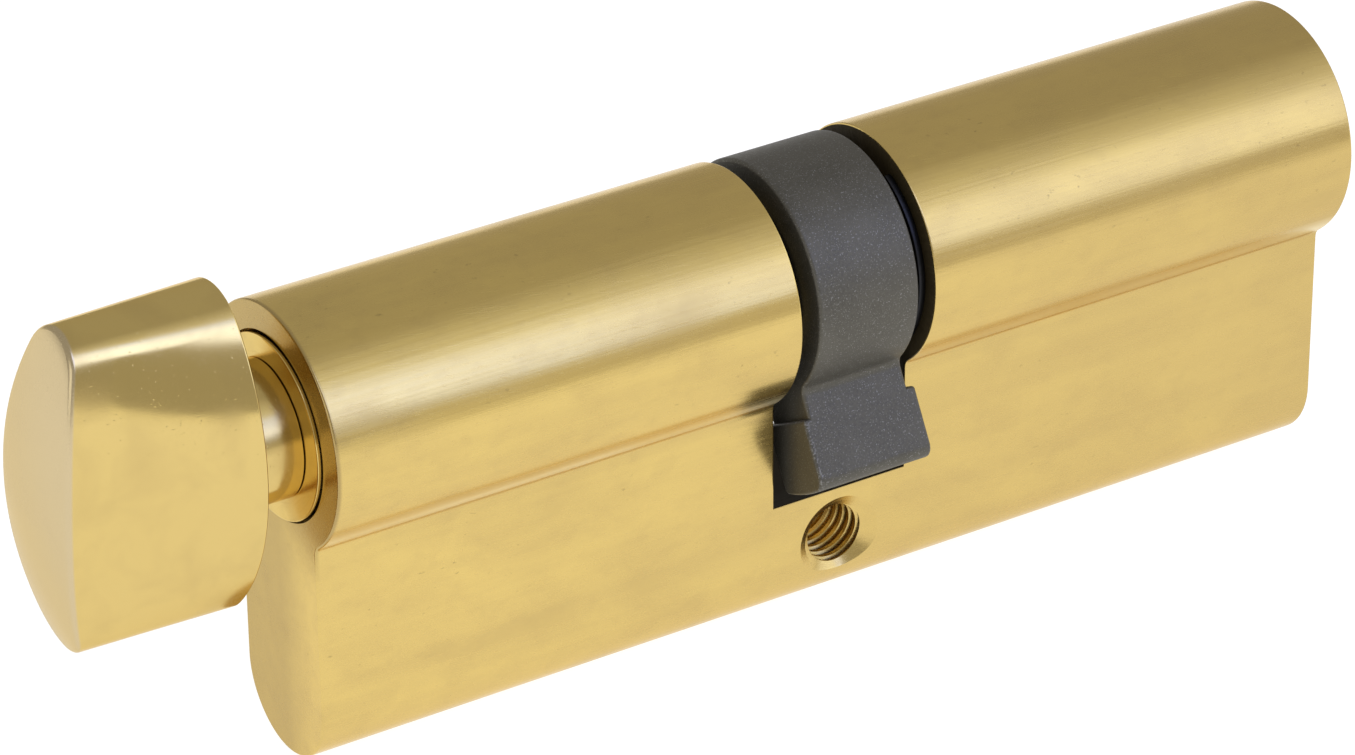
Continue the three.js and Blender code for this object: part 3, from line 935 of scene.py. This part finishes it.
def circlips():
    middle = (CLIP_INNER + CLIP_OUTER) / 2
    start = 90 + CLIP_OPENING / 2
    end = start + 360 - CLIP_OPENING
    outline = arc(0, 0, CLIP_OUTER, start, end, 64) + arc(0, 0, CLIP_INNER, end, start, 64)
    clip = slab_along_x(outline, CLIP_FROM, CLIP_TO)
    for angle in (radians(start) + CLIP_EYELET_TURN, radians(end) - CLIP_EYELET_TURN):
        place = (0, middle * cos(angle), middle * sin(angle))
        cut(clip, rod(CLIP_EYELET, CLIP_FROM - BEYOND, CLIP_TO + BEYOND, "X", place, 20))
    soften(clip, CLIP_EDGE)
    other = copied(clip, (-CLIP_FROM - CLIP_TO, 0, 0))
    finish(clip, "circlip_key_side", "key_side", black_steel)
    finish(other, "circlip_turn_side", "turn_side", black_steel)


# ---- Cam and clutch ----


def lever_outline(start):
    """The lever's outline across the plug axis, straight down from a radius to its tip."""
    half, reach = LEVER_THICKNESS / 2, mm(sizes().lever_reach)
    tips = [degrees(asin((half - corner) / (reach - corner))) for corner in BIT_CORNERS]
    depths = [
        -(reach - corner) * cos(radians(tip)) for corner, tip in zip(BIT_CORNERS, tips)
    ]
    front, back = BIT_CORNERS
    outline = [(-half, -start)]
    outline += arc(front - half, depths[0], front, 180, 270 - tips[0], 8)
    outline += arc(0, 0, reach, 270 - tips[0], 270 + tips[1], 8)[1:-1]
    outline += arc(half - back, depths[1], back, 270 + tips[1], 360, 8)
    return outline + [(half, -start)]


def ring_outline():
    """The cam's ring and lever in one outline, joined by a small hollow on each side."""
    half, hollow = LEVER_THICKNESS / 2, LEVER_HOLLOW
    side = half + hollow
    join_z = -((CAM_RADIUS + hollow) ** 2 - side**2) ** 0.5
    bend = degrees(atan2(-join_z, side))
    left = arc(-side, join_z, hollow, 0, bend, 6)
    right = arc(side, join_z, hollow, 180 - bend, 180, 6)
    ring = arc(0, 0, CAM_RADIUS, -bend, 180 + bend, 90)
    lever = lever_outline(-join_z)[1:-1]
    return ring[:-1] + left[::-1] + lever + right[::-1][:-1]


def cam():
    s = sizes()
    body = soften(slab_along_x(ring_outline(), CAM_FROM, CAM_TO), CAM_EDGE, 3)
    bit = soften(slab_along_x(lever_outline(BIT_START), BIT_FROM, BIT_TO), BIT_EDGE, 3)
    welded(body, bit)
    cut(body, rod(CAM_BORE, CAM_FROM - BEYOND, CAM_TO + BEYOND, steps=72))
    half = WING_WIDTH / 2 + FIT
    low = (CAM_FROM - BEYOND, -half, -WING_REACH - 2 * FIT)
    cut(body, block(low, (CAM_TO + BEYOND, half, 0)))
    turned_about_x(body, -s.lever_angle)
    return finish(body, "cam", "cam", sintered_steel)


def clutch_half(node_name, ride_on, inner, outer):
    """A disc with a wing, a drive slot in its outer face and a spring pocket in its inner one."""
    low, high = min(inner, outer), max(inner, outer)
    out = 1 if outer > inner else -1
    half = WING_WIDTH / 2
    disc = soften(rod(CLUTCH_RADIUS, low, high, steps=72), EDGE)
    welded(disc, soften(block((low, -half, -WING_REACH), (high, half, -WING_ROOT)), EDGE))
    width, length = CLUTCH_SLOT
    slot_x = sorted((outer - out * CLUTCH_SLOT_DEPTH, outer + out))
    pocket_radius, pocket_depth = CLUTCH_POCKET
    pocket_x = sorted((inner - out, inner + out * pocket_depth))
    cut(
        disc,
        block((slot_x[0], -width / 2, -length / 2), (slot_x[1], width / 2, length / 2)),
        rod(pocket_radius, *pocket_x, steps=40),
    )
    turned_about_x(disc, -sizes().lever_angle)
    return finish(disc, node_name, ride_on, clutch_steel)


def clutch():
    clutch_half("clutch_turn_side", "cam", TURN_CLUTCH[1], TURN_CLUTCH[0])
    clutch_half("clutch_key_side", "sliding_clutch", KEY_CLUTCH[0], KEY_CLUTCH[1])


# ---- Springs ----


def coil(coil_radius, wire_radius, length, turns, steps=20, sides=10):
    """A compression spring standing on z = 0, with its end turns pressed together."""
    bpy.ops.object.select_all(action="DESELECT")
    bpy.ops.mesh.primitive_circle_add(
        vertices=sides, radius=wire_radius, location=(coil_radius, 0, 0), rotation=(pi / 2, 0, 0)
    )
    bpy.ops.object.transform_apply(location=True, rotation=True, scale=True)
    spring = wind(bpy.context.object, "Z", 1, turns, steps)
    closed = CLOSED_PITCH * wire_radius
    spread = (length - 2 * wire_radius - 2 * closed) / (turns - 2)
    for vert in spring.data.vertices:
        x, y, z = vert.co
        angle = atan2(y, x) / (2 * pi)
        turn = angle + round(z - angle)
        height = z - turn
        if turn < 1:
            rise = turn * closed
        elif turn < turns - 1:
            rise = closed + (turn - 1) * spread
        else:
            rise = closed + (turns - 2) * spread + (turn - turns + 1) * closed
        vert.co.z = rise + height + wire_radius
    return spring


def clutch_spring():
    low, high = CLUTCH_SPRING
    spring = coil(*CLUTCH_COIL, high - low - 2 * SPRING_GAP, 5)
    upright_to_x = Matrix.Rotation(pi / 2, 4, "Y")
    spring.data.transform(Matrix.Translation((low + SPRING_GAP, 0, 0)) @ upright_to_x)
    finish(spring, "clutch_spring", "cam", spring_steel, 60)
    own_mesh(spring)


def pin_springs():
    first = coil(*PIN_COIL, DRIVER_BOTTOM - SPRING_BOTTOM - 2 * SPRING_GAP, 9)
    first.data.transform(Matrix.Translation((PIN_X[0], 0, SPRING_BOTTOM + SPRING_GAP)))
    for i, spring in in_row(first):
        finish(spring, f"pin_spring_{i}", None, spring_steel, 60)
        foot, top = ((PIN_X[i - 1] * MM, 0, z * MM) for z in (SPRING_BOTTOM, DRIVER_BOTTOM))
        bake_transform(spring)
        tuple(foot)
        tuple(top)


# ---- Thumbturn knob ----


def oval(half_height, half_width, end_radius, steps=14):
    """A pointed oval (y, z): two long flank arcs joined by two small end arcs."""
    flank = (half_width**2 + half_height**2 - 2 * half_height * end_radius) / (
        2 * (half_width - end_radius)
    )
    aside, up = flank - half_width, half_height - end_radius
    reach = degrees(atan2(up, aside))
    return (
        arc(-aside, 0, flank, -reach, reach, 2 * steps)[:-1]
        + arc(0, up, end_radius, reach, 180 - reach, steps)[:-1]
        + arc(aside, 0, flank, 180 - reach, 180 + reach, 2 * steps)[:-1]
        + arc(0, -up, end_radius, 180 + reach, 360 - reach, steps)[:-1]
    )


def lofted(rings):
    """A skin over rings of points: the first is filled, then pushed on to each next one."""
    draw(rings[0])
    bpy.ops.mesh.edge_face_add()
    obj = bpy.context.object
    mesh = bmesh.from_edit_mesh(obj.data)
    mesh.faces.ensure_lookup_table()
    corners = [loop.vert.co for loop in mesh.faces[0].loops]
    first = [Vector(p) for p in rings[0]]
    order = [min(range(len(first)), key=lambda i: (first[i] - c).length) for c in corners]
    for ring in rings[1:]:
        bpy.ops.mesh.extrude_region_move(TRANSFORM_OT_translate={"value": (0, 0, 0)})
        mesh = bmesh.from_edit_mesh(obj.data)
        top = next(face for face in mesh.faces if face.select)
        for loop, i in zip(top.loops, order):
            loop.vert.co = ring[i]
        bmesh.update_edit_mesh(obj.data)
    bpy.ops.mesh.merge(type="CENTER")
    close_up()
    return leave_edit()


def knob_head():
    s = sizes()
    half_height = mm(s.knob_height) / 2
    back_half, front_half = mm(s.knob_back_width) / 2, mm(s.knob_front_width) / 2

    def ring(share, inset, place):
        """A ring from the back (share 0) to the front (share 1), inset from the outline."""
        half_width = back_half + (front_half - back_half) * share
        end = KNOB_BACK_END + (KNOB_FRONT_END - KNOB_BACK_END) * share
        points = oval(half_height - inset, half_width - inset, end - inset)
        return [(place(y, z), y, z) for y, z in points]

    def dome(y, z):
        return KNOB_FRONT + z * z / (2 * KNOB_DOME_TALL) + y * y / (2 * KNOB_DOME_WIDE)

    rings = [ring(0, KNOB_BACK_EDGE, lambda y, z: KNOB_BACK)]
    for turn in (30, 60, 90):
        a = radians(turn)
        inset, step = KNOB_BACK_EDGE * (1 - sin(a)), KNOB_BACK_EDGE * (1 - cos(a))
        rings.append(ring(0, inset, lambda y, z: KNOB_BACK - step))
    for share in (0.2, 0.4, 0.6, 0.8):
        rings.append(
            ring(share, 0, lambda y, z: KNOB_BACK + (dome(y, z) + KNOB_EDGE - KNOB_BACK) * share)
        )
    for turn in (0, 22, 45, 68, 90):
        a = radians(turn)
        inset, step = KNOB_EDGE * (1 - cos(a)), KNOB_EDGE * (1 - sin(a))
        rings.append(ring(1, inset, lambda y, z: dome(y, z) + step))
    rim = [(y, z) for x, y, z in rings[-1]]
    for share in KNOB_FRONT_RINGS:
        rings.append([(dome(y * share, z * share), y * share, z * share) for y, z in rim])
    return lofted(rings)


def thumbturn_knob():
    s = sizes()
    bore_end = -mm(s.turn_length) - HEAD_PROUD - SPINDLE_LENGTH - 2 * FIT
    head = knob_head()
    neck = [(KNOB_BACK - BEYOND, 0), (KNOB_BACK - BEYOND, NECK_RADIUS)]
    neck += [(NECK_END - back, NECK_RADIUS - down) for back, down in NECK_END_ROUNDING]
    welded(head, spun(neck + [(NECK_END, 0)]))

    def neck_root(edge):
        at_root = all(near(hypot(v.co.y, v.co.z), NECK_RADIUS) for v in edge.verts)
        return at_root and both_at(edge, 0, KNOB_BACK)

    round_edges(head, NECK_ROOT, 3, neck_root)
    cut(head, rod(SPINDLE_RADIUS + FIT, bore_end, NECK_END + BEYOND, steps=64))
    cut(head, rod(GRUB_RADIUS + FIT, -CLEAR, 0, "Z", (GRUB_X, 0, 0), 32))
    turned_about_x(head, s.knob_angle)
    return finish(head, "thumbturn_knob", "turn_side", polished_brass)


def grub_screw():
    outer, tip = -NECK_RADIUS + GRUB_SUNK, SPINDLE_FLAT - SPINDLE_RADIUS - FIT
    screw = soften(rod(GRUB_RADIUS, outer, tip, "Z", (GRUB_X, 0, 0), 32), GRUB_EDGE)
    cut(screw, rod(GRUB_SOCKET, outer - BEYOND, outer + BEYOND, "Z", (GRUB_X, 0, 0), 6))
    turned_about_x(screw, sizes().knob_angle)
    return finish(screw, "knob_grub_screw", "turn_side", black_steel)


# ---- Pins ----


def key_pins():
    foot = [(KEY_PIN_BOTTOM + up, PIN_RADIUS - inset) for up, inset in KEY_PIN_FOOT]
    for i, (x, length) in enumerate(zip(PIN_X, KEY_PIN_LENGTHS), 1):
        tip = KEY_PIN_BOTTOM + length - NOSE_GAP
        nose = [(tip - down, radius) for down, radius in KEY_PIN_NOSE]
        shoulder = (tip - PIN_RADIUS + PIN_TIP, PIN_RADIUS)
        profile = [(KEY_PIN_BOTTOM, 0), *foot, shoulder, *nose, (tip, 0)]
        pin = spun(profile, "Z", (x, 0, 0), 40)
        finish(pin, f"key_pin_{i}", f"key_pin_{i}", nickel_silver)


def driver_pins():
    waist = PIN_RADIUS - DRIVER_WAIST
    low, high = DRIVER_BOTTOM + DRIVER_RIM, DRIVER_TOP - DRIVER_RIM
    profile = [
        (DRIVER_BOTTOM, 0),
        (DRIVER_BOTTOM, PIN_RADIUS),
        (low, PIN_RADIUS),
        (low + DRIVER_WAIST, waist),
        (high - DRIVER_WAIST, waist),
        (high, PIN_RADIUS),
        (DRIVER_TOP, PIN_RADIUS),
        (DRIVER_TOP, 0),
    ]
    for i, driver in in_row(soften(spun(profile, "Z", (PIN_X[0], 0, 0), 40), DRIVER_EDGE)):
        finish(driver, f"driver_pin_{i}", f"driver_{i}", nickel_silver)


# ---- Stage ----

VIEW_TARGET = (-9.771, 0.0, -5.757)
VIEW_DISTANCE = 396.3
VIEW_AZIMUTH, VIEW_ELEVATION, VIEW_ROLL = -32.24, 28.89, -0.52
LENS, SENSOR = 156.94, 36

# The studio's cards, in metres and degrees.
SOFTBOX_SIZE = 1.0, 0.74
SOFTBOX_HEADING = 0.467, -0.85, 0
SOFTBOX_DISTANCE = 0.45
SOFTBOX_HEIGHT, SOFTBOX_AIM_HEIGHT = 0.36, 0.03
SOFTBOX_SHIFT = 0.2
SIDE_SIZE = 0.4, 0.26
SIDE_ANGLES = -64, 17
SIDE_DISTANCE = 0.5
FLAG_SIZE = 1.2, 0.0475
FLAG_X, FLAG_HEIGHT = 0.62, 0.0238
FLAG_DISTANCE = 0.139


def direction(azimuth, elevation):
    a, e = radians(azimuth), radians(elevation)
    return Vector((sin(a) * cos(e), -cos(a) * cos(e), sin(e)))


def glowing(name, colour, strength):
    material = bpy.data.materials.new(name)
    material.use_nodes = True
    tree = material.node_tree
    tree.nodes.clear()
    glow = node(tree, "Emission", {"Color": colour, "Strength": strength})
    output = node(tree, "OutputMaterial")
    tree.links.new(glow.outputs[0], output.inputs["Surface"])
    return material, glow


def card(name, size, place, aim, material):
    """A flat studio card that the camera doesn't see, facing the object."""
    bpy.ops.object.select_all(action="DESELECT")
    bpy.ops.mesh.primitive_plane_add(size=1, location=place)
    panel = bpy.context.object
    panel.name = name
    panel.rotation_euler = (Vector(aim) - Vector(place)).to_track_quat("Z", "Y").to_euler()
    panel.scale = (*size, 1)
    panel.data.materials.append(material)
    panel.visible_camera = False
    panel.visible_shadow = False
    panel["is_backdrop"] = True
    return panel


def stage():
    bpy.context.scene.view_settings.view_transform = "Standard"
    lay_floor()
    light_all_round()
    hang_softbox()
    hang_cards()
    set_camera()


def lay_floor():
    settings = bpy.context.scene.lock_stage
    bpy.ops.object.select_all(action="DESELECT")
    bpy.ops.mesh.primitive_plane_add(size=6, location=(0, 0, BODY_LOW.z))
    floor = bpy.context.object
    floor.name = "floor"
    material = bpy.data.materials.new("pale_floor")
    material.use_nodes = True
    shader = material.node_tree.nodes["Principled BSDF"]
    shader.inputs["Base Color"].default_value = tuple(settings.floor)
    shader.inputs["Roughness"].default_value = 0.9
    shader.inputs["Emission Color"].default_value = (1.0, 1.0, 0.995, 1.0)
    shader.inputs["Emission Strength"].default_value = settings.floor_glow
    floor.data.materials.append(material)
    floor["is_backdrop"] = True


def light_all_round():
    world = bpy.data.worlds.new("studio")
    world.use_nodes = True
    background = world.node_tree.nodes["Background"]
    background.inputs["Color"].default_value = (1.0, 0.98, 0.95, 1.0)
    background.inputs["Strength"].default_value = bpy.context.scene.lock_stage.ambient
    bpy.context.scene.world = world


def hang_softbox():
    """A large card in front, graded from its lit foot up to the light all round."""
    settings = bpy.context.scene.lock_stage
    soft, glow = glowing("softbox_glow", WHITE, 1.0)
    tree = soft.node_tree
    place = coordinates(tree)
    dim = shaded((1.0, 0.98, 0.95), settings.ambient)
    mid = shaded((0.97, 1.0, 1.06), 0.58 * settings.softbox)
    right, left, hot = (
        shaded(colour, settings.softbox)
        for colour in ((0.98, 1.06, 1.35), (0.6, 0.76, 1.9), (1.2, 1.4, 2.6))
    )
    foot = layered(
        tree,
        right,
        (between(tree, place["X"], 0.172, 0.215), left),
        (between(tree, place["X"], 0.225, 0.27), hot),
    )
    lift = between(tree, place["X"], 0.19, 0.27, 0.0, 0.4)
    height = maths(tree, "SUBTRACT", place["Y"], lift)
    slope = maths(tree, "SUBTRACT", place["X"], product(tree, place["Y"], 0.22))
    light = layered(
        tree,
        dim,
        (between(tree, height, 0.5, 0.1), mid),
        (between(tree, height, 0.1, -0.1), foot),
        (between(tree, slope, 0.335, 0.36), dim),
    )
    tree.links.new(light, glow.inputs["Color"])
    heading = Vector(SOFTBOX_HEADING).normalized()
    along = Vector((-heading.y, heading.x, 0)) * SOFTBOX_SHIFT
    centre = heading * SOFTBOX_DISTANCE + Vector((0, 0, SOFTBOX_HEIGHT)) + along
    card("softbox", SOFTBOX_SIZE, centre, along + Vector((0, 0, SOFTBOX_AIM_HEIGHT)), soft)


def hang_cards():
    """A light card off the thumbturn's side, and a grey one under the softbox."""
    settings = bpy.context.scene.lock_stage
    side, _ = glowing("side_glow", WHITE, settings.side_light)
    card("side_light", SIDE_SIZE, direction(*SIDE_ANGLES) * SIDE_DISTANCE, (0, 0, 0), side)

    flag, _ = glowing("flag_grey", (1.0, 0.97, 0.93, 1.0), settings.flag)
    middle = Vector((FLAG_X, 0, BODY_LOW.z + FLAG_HEIGHT))
    panel = card("flag", FLAG_SIZE, middle - Vector((0, FLAG_DISTANCE, 0)), middle, flag)
    panel.visible_diffuse = False


def set_camera():
    back = direction(VIEW_AZIMUTH, VIEW_ELEVATION)
    right = (-back).cross(Vector((0, 0, 1))).normalized()
    up = right.cross(-back)
    roll = radians(VIEW_ROLL)
    across_view = right * cos(roll) + up * sin(roll)
    up_view = up * cos(roll) - right * sin(roll)
    data = bpy.data.cameras.new("camera")
    data.lens = LENS
    data.sensor_width = SENSOR
    data.clip_start, data.clip_end = 0.01, 10
    camera = bpy.data.objects.new("camera", data)
    bpy.context.scene.collection.objects.link(camera)
    axes = Matrix((across_view, up_view, back)).transposed().to_4x4()
    place = (Vector(VIEW_TARGET) + back * VIEW_DISTANCE) * MM
    camera.matrix_world = Matrix.Translation(place) @ axes
    bpy.context.scene.camera = camera


# ---- Add-on ----


def length_of(name, description, default):
    return bpy.props.FloatProperty(
        name=name, description=description, default=default, min=0.0, unit="LENGTH", precision=5
    )


def angle_of(name, description, default):
    return bpy.props.FloatProperty(
        name=name, description=description, default=radians(default), subtype="ANGLE"
    )


def colour_of(name, description, default):
    return bpy.props.FloatVectorProperty(
        name=name,
        description=description,
        default=(*default, 1.0),
        size=4,
        min=0.0,
        max=1.0,
        subtype="COLOR",
    )


def light_of(name, description, default):
    return bpy.props.FloatProperty(name=name, description=description, default=default, min=0.0)


class LockSizes(bpy.types.PropertyGroup):
    key_length: length_of("Key side", "From the fixing screw to the key end face", BODY_HIGH.x)
    turn_length: length_of(
        "Thumbturn side", "From the fixing screw to the thumbturn end face", -BODY_LOW.x
    )
    barrel_radius: length_of("Barrel radius", "Round part of the housing", BODY_HIGH.z)
    flange_drop: length_of("Flange drop", "From the plug axis to the flange's foot", -BODY_LOW.z)
    flange_width: length_of("Flange width", "Flat part of the housing", 10 * MM)
    recess_width: length_of("Recess width", "Gap in the housing that the cam turns in", 10.6 * MM)
    edge_break: length_of("Edge rounding", "Rounding of the end faces' rims", 0.18 * MM)
    plug_radius: length_of("Plug radius", "Radius of both plugs behind their heads", 6.1 * MM)
    lever_reach: length_of("Lever reach", "From the plug axis to the tip of the lever", 15 * MM)
    lever_angle: angle_of("Lever angle", "How far the lever stands off straight down", 29)
    knob_height: length_of("Knob height", "Length of the knob's pointed oval", 24 * MM)
    knob_back_width: length_of("Knob width, back", "Width of the oval at the back", 13.84 * MM)
    knob_front_width: length_of("Knob width, front", "Width of the oval at the front", 9.1 * MM)
    knob_angle: angle_of("Knob angle", "How far the knob stands off upright", 4.6)


class LockColours(bpy.types.PropertyGroup):
    brass: colour_of("Brass", "Clean brass of the housing and plugs", (0.72, 0.525, 0.16))
    knob: colour_of("Knob brass", "Polished brass of the knob", (0.69, 0.51, 0.175))
    tarnish: colour_of("Tarnish", "Brass where it has dulled", (0.46, 0.32, 0.12))
    cam: colour_of("Cam", "Sintered steel of the cam", (0.088, 0.081, 0.062))
    black_steel: colour_of("Black steel", "Circlips and grub screw", (0.035, 0.035, 0.037))
    steel: colour_of("Steel", "Clutch and springs", (0.42, 0.42, 0.44))
    nickel_silver: colour_of("Nickel silver", "Key pins and driver pins", (0.6, 0.58, 0.5))


class LockStage(bpy.types.PropertyGroup):
    floor: colour_of("Floor", "Colour of the floor", (0.28, 0.28, 0.28))
    floor_glow: light_of("Floor glow", "Light that the floor gives off", 0.92)
    ambient: light_of("Ambient light", "Light from all round", 0.47)
    softbox: light_of("Softbox", "Light from the softbox in front", 1.5)
    side_light: light_of("Side light", "Light from the thumbturn side", 1.2)
    flag: light_of("Flag", "Brightness of the grey card under the softbox", 0.7)


class LOCKCYL_OT_cylinder_body(bpy.types.Operator):
    """Adds the housing with its bores, cam recess and tapped screw hole"""

    bl_idname = "lockcyl.cylinder_body"
    bl_label = "Housing"

    def execute(self, context):
        cylinder_body()
        return {"FINISHED"}


class LOCKCYL_OT_chamber_plugs(bpy.types.Operator):
    """Adds the five plugs that close the pin chambers"""

    bl_idname = "lockcyl.chamber_plugs"
    bl_label = "Chamber plugs"

    def execute(self, context):
        chamber_plugs()
        return {"FINISHED"}


class LOCKCYL_OT_key_plug(bpy.types.Operator):
    """Adds the plug on the key side, with its warded keyway"""

    bl_idname = "lockcyl.key_plug"
    bl_label = "Key plug"

    def execute(self, context):
        key_plug()
        return {"FINISHED"}


class LOCKCYL_OT_thumbturn_plug(bpy.types.Operator):
    """Adds the plug on the thumbturn side, with its spindle and tongue"""

    bl_idname = "lockcyl.thumbturn_plug"
    bl_label = "Thumbturn plug"

    def execute(self, context):
        thumbturn_plug()
        return {"FINISHED"}


class LOCKCYL_OT_circlips(bpy.types.Operator):
    """Adds the two circlips that hold the plugs"""

    bl_idname = "lockcyl.circlips"
    bl_label = "Circlips"

    def execute(self, context):
        circlips()
        return {"FINISHED"}


class LOCKCYL_OT_cam(bpy.types.Operator):
    """Adds the cam with its lever"""

    bl_idname = "lockcyl.cam"
    bl_label = "Cam"

    def execute(self, context):
        cam()
        return {"FINISHED"}


class LOCKCYL_OT_clutch(bpy.types.Operator):
    """Adds the two clutch halves inside the cam"""

    bl_idname = "lockcyl.clutch"
    bl_label = "Clutch halves"

    def execute(self, context):
        clutch()
        return {"FINISHED"}


class LOCKCYL_OT_clutch_spring(bpy.types.Operator):
    """Adds the spring between the clutch halves"""

    bl_idname = "lockcyl.clutch_spring"
    bl_label = "Clutch spring"

    def execute(self, context):
        clutch_spring()
        return {"FINISHED"}


class LOCKCYL_OT_thumbturn_knob(bpy.types.Operator):
    """Adds the thumbturn's knob with its neck"""

    bl_idname = "lockcyl.thumbturn_knob"
    bl_label = "Thumbturn knob"

    def execute(self, context):
        thumbturn_knob()
        return {"FINISHED"}


class LOCKCYL_OT_grub_screw(bpy.types.Operator):
    """Adds the grub screw that holds the knob"""

    bl_idname = "lockcyl.grub_screw"
    bl_label = "Grub screw"

    def execute(self, context):
        grub_screw()
        return {"FINISHED"}


class LOCKCYL_OT_key_pins(bpy.types.Operator):
    """Adds the five key pins"""

    bl_idname = "lockcyl.key_pins"
    bl_label = "Key pins"

    def execute(self, context):
        key_pins()
        return {"FINISHED"}


class LOCKCYL_OT_driver_pins(bpy.types.Operator):
    """Adds the five driver pins"""

    bl_idname = "lockcyl.driver_pins"
    bl_label = "Driver pins"

    def execute(self, context):
        driver_pins()
        return {"FINISHED"}


class LOCKCYL_OT_pin_springs(bpy.types.Operator):
    """Adds the five pin springs"""

    bl_idname = "lockcyl.pin_springs"
    bl_label = "Pin springs"

    def execute(self, context):
        pin_springs()
        return {"FINISHED"}


class LOCKCYL_OT_stage(bpy.types.Operator):
    """Adds the floor, the lights and the camera"""

    bl_idname = "lockcyl.stage"
    bl_label = "Stage"

    def execute(self, context):
        stage()
        return {"FINISHED"}


OPERATORS = (
    LOCKCYL_OT_cylinder_body,
    LOCKCYL_OT_chamber_plugs,
    LOCKCYL_OT_key_plug,
    LOCKCYL_OT_thumbturn_plug,
    LOCKCYL_OT_circlips,
    LOCKCYL_OT_cam,
    LOCKCYL_OT_clutch,
    LOCKCYL_OT_clutch_spring,
    LOCKCYL_OT_thumbturn_knob,
    LOCKCYL_OT_grub_screw,
    LOCKCYL_OT_key_pins,
    LOCKCYL_OT_driver_pins,
    LOCKCYL_OT_pin_springs,
    LOCKCYL_OT_stage,
)


class LOCKCYL_PT_pieces(bpy.types.Panel):
    bl_idname = "LOCKCYL_PT_pieces"
    bl_label = "Lock cylinder"
    bl_space_type = "VIEW_3D"
    bl_region_type = "UI"
    bl_category = "Lock cylinder"

    def draw(self, context):
        scene = context.scene
        for group in (scene.lock_sizes, scene.lock_colours, scene.lock_stage):
            column = self.layout.column()
            for name in group.__annotations__:
                column.prop(group, name)
        column = self.layout.column()
        for operator in OPERATORS:
            column.operator(operator.bl_idname)


CLASSES = (LockSizes, LockColours, LockStage, *OPERATORS, LOCKCYL_PT_pieces)


def register():
    for each in CLASSES:
        bpy.utils.register_class(each)
    bpy.types.Scene.lock_sizes = bpy.props.PointerProperty(type=LockSizes)
    bpy.types.Scene.lock_colours = bpy.props.PointerProperty(type=LockColours)
    bpy.types.Scene.lock_stage = bpy.props.PointerProperty(type=LockStage)


def unregister():
    del bpy.types.Scene.lock_stage
    del bpy.types.Scene.lock_colours
    del bpy.types.Scene.lock_sizes
    for each in reversed(CLASSES):
        bpy.utils.unregister_class(each)


def main():
    register()
    bpy.ops.lockcyl.cylinder_body()
    bpy.ops.lockcyl.chamber_plugs()
    bpy.ops.lockcyl.key_plug()
    bpy.ops.lockcyl.thumbturn_plug()
    bpy.ops.lockcyl.circlips()
    bpy.ops.lockcyl.cam()
    bpy.ops.lockcyl.clutch()
    bpy.ops.lockcyl.clutch_spring()
    bpy.ops.lockcyl.thumbturn_knob()
    bpy.ops.lockcyl.grub_screw()
    bpy.ops.lockcyl.key_pins()
    bpy.ops.lockcyl.driver_pins()
    bpy.ops.lockcyl.pin_springs()
    bpy.ops.lockcyl.stage()
    visual_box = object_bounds()
    boxes = {"cad": CAD_BOX, "visual": visual_box}
    {name: [list(corner) for corner in box] for name, box in boxes.items()}


if __name__ == "__main__":
    main()
